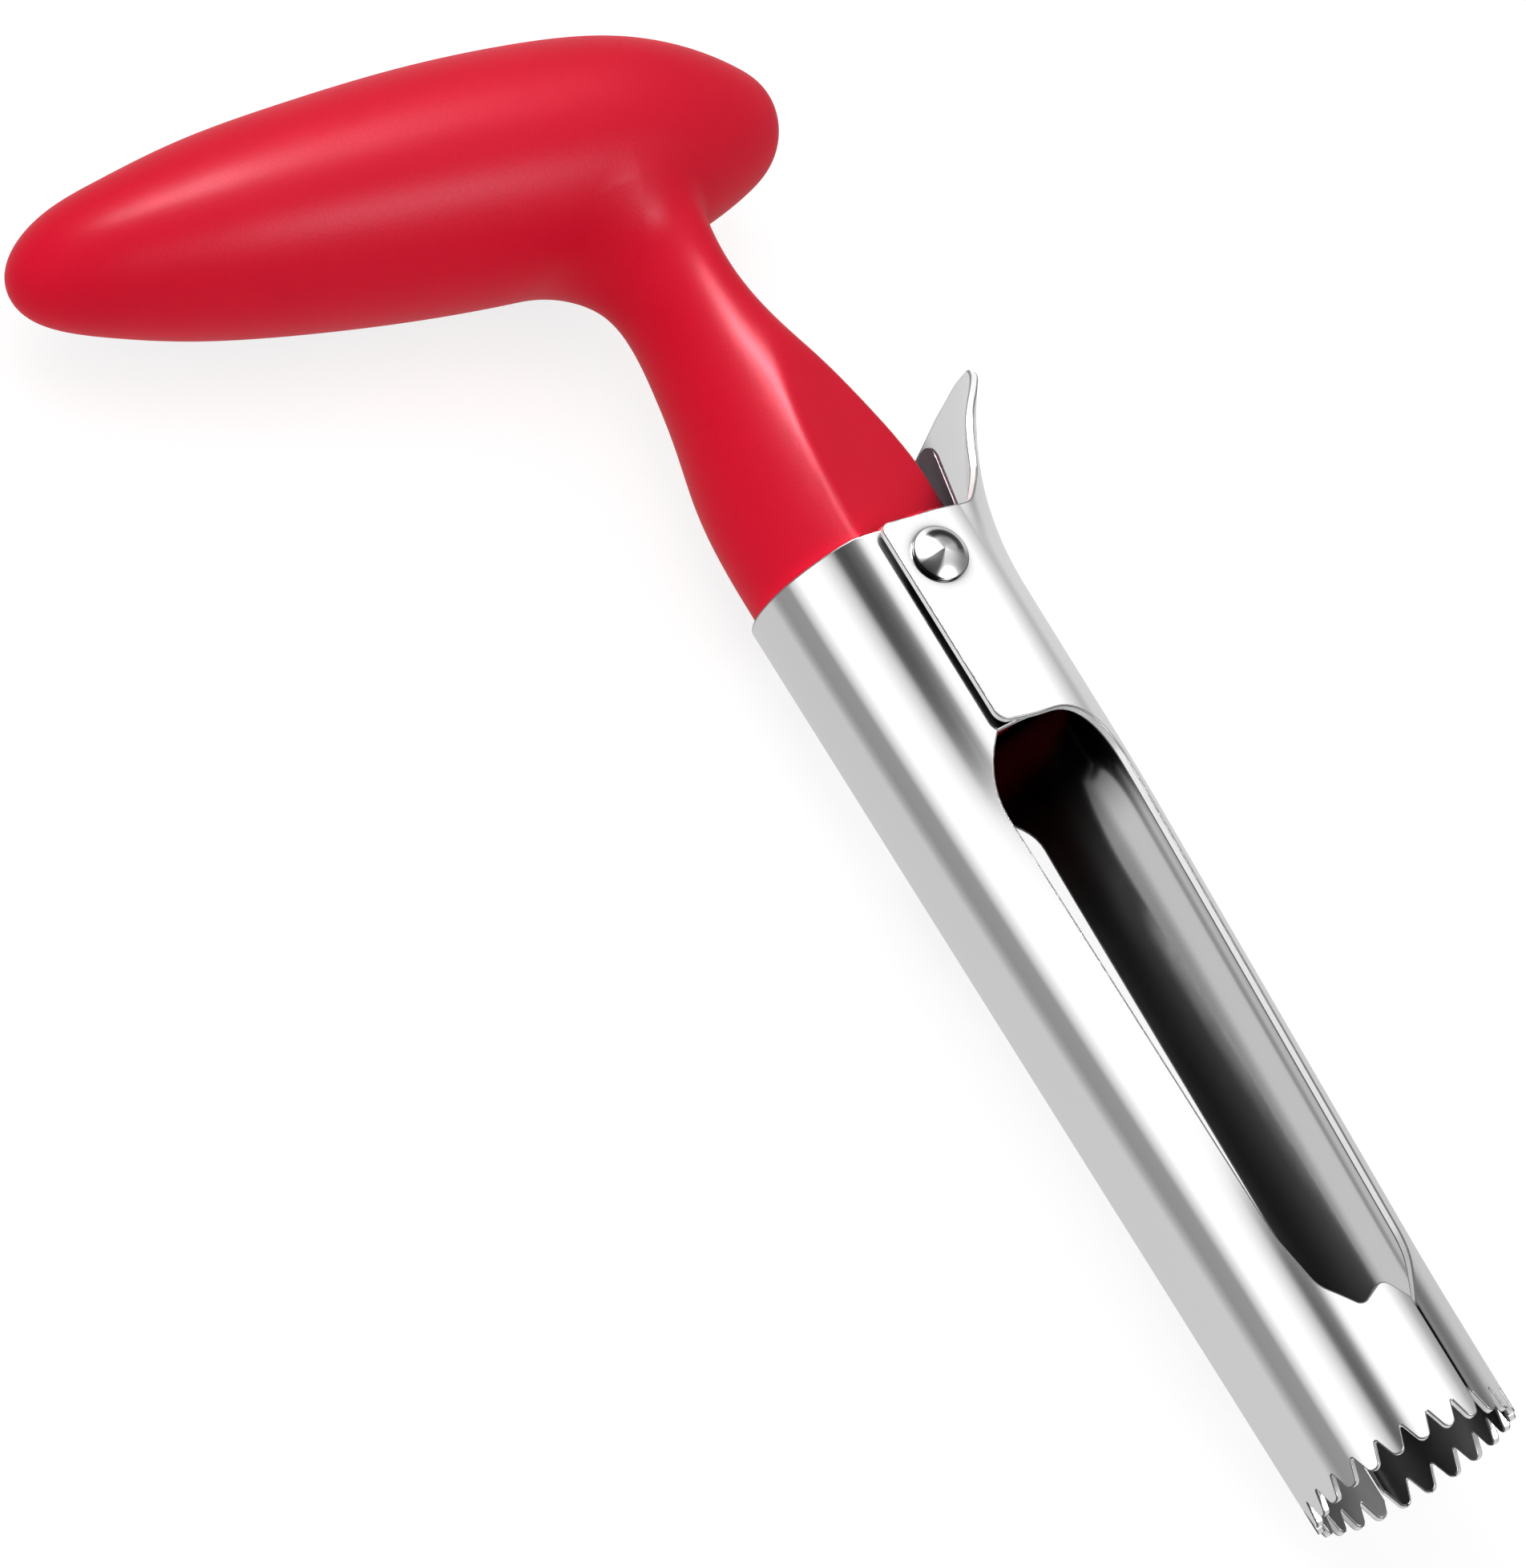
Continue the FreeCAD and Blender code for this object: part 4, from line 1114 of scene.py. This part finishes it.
# Brightness of the studio at these angles: pale floor, darker horizon, two white softboxes with the
# dark gap between them where the camera stands, and the darker side of the floor. First level with
# the tube's upper end, then with its lower end.
UPPER_LEVELS = (
    (-54, 0.70), (-12, 0.68), (-7, 0.60), (-1, 0.52), (5, 0.66), (13, 0.85), (22, 1.1),
    (100, 1.1), (108, 0.80), (113, 0.24), (118, 0.11), (127, 0.055), (134, 0.08),
    (137, 0.34), (142, 0.66), (150, 0.92), (158, 1.1), (178, 1.1), (188, 0.62),
    (192, 0.31), (208, 0.29), (214, 0.40), (220, 0.58), (306, 0.60),
)
LOWER_LEVELS = (
    (-54, 0.60), (-18, 0.58), (-11, 0.50), (-8, 0.26), (-5, 0.16), (-3, 0.18), (3, 0.46),
    (10, 0.68), (17, 0.84), (26, 1.1), (96, 1.1), (104, 0.80), (110, 0.40), (116, 0.17),
    (124, 0.11), (131, 0.12), (136, 0.27), (142, 0.60), (150, 0.88), (160, 1.1), (178, 1.1),
    (188, 0.62), (192, 0.31), (208, 0.29), (214, 0.42), (220, 0.62), (306, 0.60),
)
BRIGHTEST = 1.25
SOFTBOX_LEVEL = 1.1
# Half way down the tube the dark gap is closed: where it is filled, and from and to which share
GAP_FILLING = ((98, 0), (101, 1), (156, 1), (159, 0))
GAP_CLOSED = (0.28, 0.36, 0.93, 0.99)
# How far the softboxes' edges swing, in degrees, at the tube's lower end
STUDIO_SWINGS = (
    (-54, 0), (-5, -7), (38, -35), (80, -20), (113, -1), (130, 9), (170, 15), (200, 14),
    (260, 5), (306, 0),
)
WIDEST_SWINGS = (-40.0, 20.0)
# Even light for matt faces. Beyond both ends of the tube the studio is darker
SOFT_LIGHT = 0.62
END_LEVELS = (
    (-54, 0.72), (-20, 0.60), (-4, 0.35), (30, 0.10), (180, 0.10), (214, 0.30), (236, 0.70),
    (306, 0.72),
)
# Where the softboxes begin and end along the tunnel, in metres: dark, lit, lit, dark
SOFTBOX_REACH = (-0.16, -0.08, 0.150, 0.185)
TUNNEL_RADIUS = 0.5
TUNNEL_ENDS = (-0.35, 0.5)
TUNNEL_SIDES = 96
# Place along the tunnel of the upper levels, and from there down to the lower ones
UPPER_BANDS_AT = 0.128
BANDS_SPAN = 0.086


class Studio(Finish):
    def turn(self, position):
        """Share of the way round the tube's axis of a position given from that axis."""
        angle = self.math("DEGREES", self.math(
            "ARCTAN2", self.part(position, "Z"), self.part(position, "X")))
        return (self.math("WRAP", angle, STUDIO_SEAM + 360, STUDIO_SEAM) - STUDIO_SEAM) / 360

    def levels(self, turn, stops):
        """Level along stops given in degrees, all of them from 0 to 1."""
        return self.curve(turn, [((at - STUDIO_SEAM) / 360, level) for at, level in stops])

    def levels_between(self, low, high, turn, stops):
        """Level along stops given in degrees, all of them between the low and the high level."""
        scaled = [(at, (level - low) / (high - low)) for at, level in stops]
        return self.levels(turn, scaled) * (high - low) + low


def make_studio():
    """Round the object stands a tunnel of softboxes that only polished faces see."""
    studio = Studio(bpy.data.materials.new("studio_softboxes"))
    place = studio.place()
    endways = studio.part(place, "Y")
    turn = studio.turn(place)
    lowness = studio.node("ShaderNodeMapRange", {}, {
        "Value": endways, "From Min": UPPER_BANDS_AT, "From Max": UPPER_BANDS_AT - BANDS_SPAN})
    swung = turn + studio.levels_between(*WIDEST_SWINGS, turn, STUDIO_SWINGS) * lowness / 360
    upper, lower = (studio.levels_between(0.0, BRIGHTEST, swung, stops)
                    for stops in (UPPER_LEVELS, LOWER_LEVELS))
    level = studio.mix(lowness, upper, lower)
    closing = studio.rise(lowness, GAP_CLOSED[0], GAP_CLOSED[1])
    opening = studio.rise(lowness, GAP_CLOSED[3], GAP_CLOSED[2])
    filling = studio.levels(swung, GAP_FILLING) * closing * opening
    level = studio.mix(filling, level, SOFTBOX_LEVEL)
    lit = (studio.rise(endways, SOFTBOX_REACH[0], SOFTBOX_REACH[1])
           * studio.rise(endways, SOFTBOX_REACH[3], SOFTBOX_REACH[2]))
    softboxes = studio.surface({
        "Base Color": grey(0.0),
        "Roughness": 1.0,
        "Specular IOR Level": 0.0,
        "Emission Color": studio.mix(lit, studio.levels(turn, END_LEVELS), level),
        "Emission Strength": 1.0,
    })
    angles = np.linspace(0, 2 * math.pi, TUNNEL_SIDES + 1)[:-1]
    ring = np.column_stack([np.cos(angles), np.zeros(TUNNEL_SIDES), np.sin(angles)])
    rings = [ring * TUNNEL_RADIUS + [0, along, 0] for along in TUNNEL_ENDS]
    tunnel = add_mesh("studio_tunnel", np.concatenate(rings),
                      faces_round(len(rings), TUNNEL_SIDES), [softboxes])
    tunnel.location = (float(ORIGIN[0]), 0.0, float(ORIGIN[2]))
    tunnel.visible_camera = tunnel.visible_diffuse = False
    tunnel.visible_shadow = tunnel.visible_transmission = False


def make_world():
    """Even soft light, white to the camera, and darker ends for what polished faces mirror."""
    world = bpy.data.worlds.new("studio")
    bpy.context.scene.world = world
    studio = Studio(world)
    direction = studio.node("ShaderNodeTexCoord", output="Generated")
    mirrored_ends = studio.levels(studio.turn(direction), END_LEVELS)
    soft = studio.mix(studio.ray("Glossy"), SOFT_LIGHT, mirrored_ends)
    background = studio.node("ShaderNodeBackground", {}, {
        "Color": studio.mix(studio.ray("Camera"), soft, 1.0), "Strength": 1.0})
    studio.node("ShaderNodeOutputWorld", {}, {"Surface": background})


def add_lamp(name, above, towards, distance, size, power, for_matt, beam=180):
    """Square soft lamp, seen in a direction from a point on the object given in millimetres. It is
    for matt light or else for highlights. The beam is in degrees."""
    data = bpy.data.lights.new(name, "AREA")
    data.spread = math.radians(beam)
    data.size = size
    data.energy = power
    lamp = add_object(name, data)
    direction = Vector(towards).normalized()
    lamp.location = Vector(ORIGIN) + Vector(above) * MILLIMETRE + direction * distance
    lamp.rotation_mode = "QUATERNION"
    lamp.rotation_quaternion = direction.to_track_quat("Z", "Y")
    lamp.visible_diffuse = for_matt
    lamp.visible_glossy = not for_matt
    lamp.visible_camera = False


def make_camera():
    """Very long lens at the photograph's angle."""
    right = Vector((0.7634, -0.5122, 0.3937)).normalized()
    back = Vector((-0.5649, -0.2335, 0.7914)).normalized()
    up = back.cross(right).normalized()
    right = up.cross(back)
    middle = Vector(ORIGIN) + Vector((-30.04, 95.92, 6.86)) * MILLIMETRE
    pixels_high = 1956
    pixels_per_millimetre = 11.76
    half_height = pixels_high / 2 / pixels_per_millimetre * MILLIMETRE
    data = bpy.data.cameras.new("camera")
    data.sensor_width = 36.0
    data.lens = 1500.0
    distance = half_height * data.lens / (data.sensor_width / 2)
    data.clip_start = 0.5
    data.clip_end = 30.0
    camera = add_object("camera", data)
    turn = Matrix((right, up, back)).transposed().to_4x4()
    camera.matrix_world = Matrix.Translation(middle + back * distance) @ turn
    bpy.context.scene.camera = camera


make_floor()
make_studio()
make_world()
add_lamp("fill", (-20, 140, 8), (-0.3, 0.35, 0.85), 0.42, 0.30, 0.62, True)
add_lamp("neck_sheen", (-3, 138, 9), (0.03, 0.53, 0.85), 0.22, 0.11, 0.40, False, 22)
add_lamp("end_sheen", (-60, 181, 10), (0.08, 0.80, 0.62), 0.30, 0.24, 0.13, False, 60)
add_lamp("grip_sheen", (-36, 169, 13), (0.24, -0.76, 0.60), 0.40, 0.12, 3.6, False)
make_camera()
bpy.context.scene.view_settings.view_transform = "Standard"
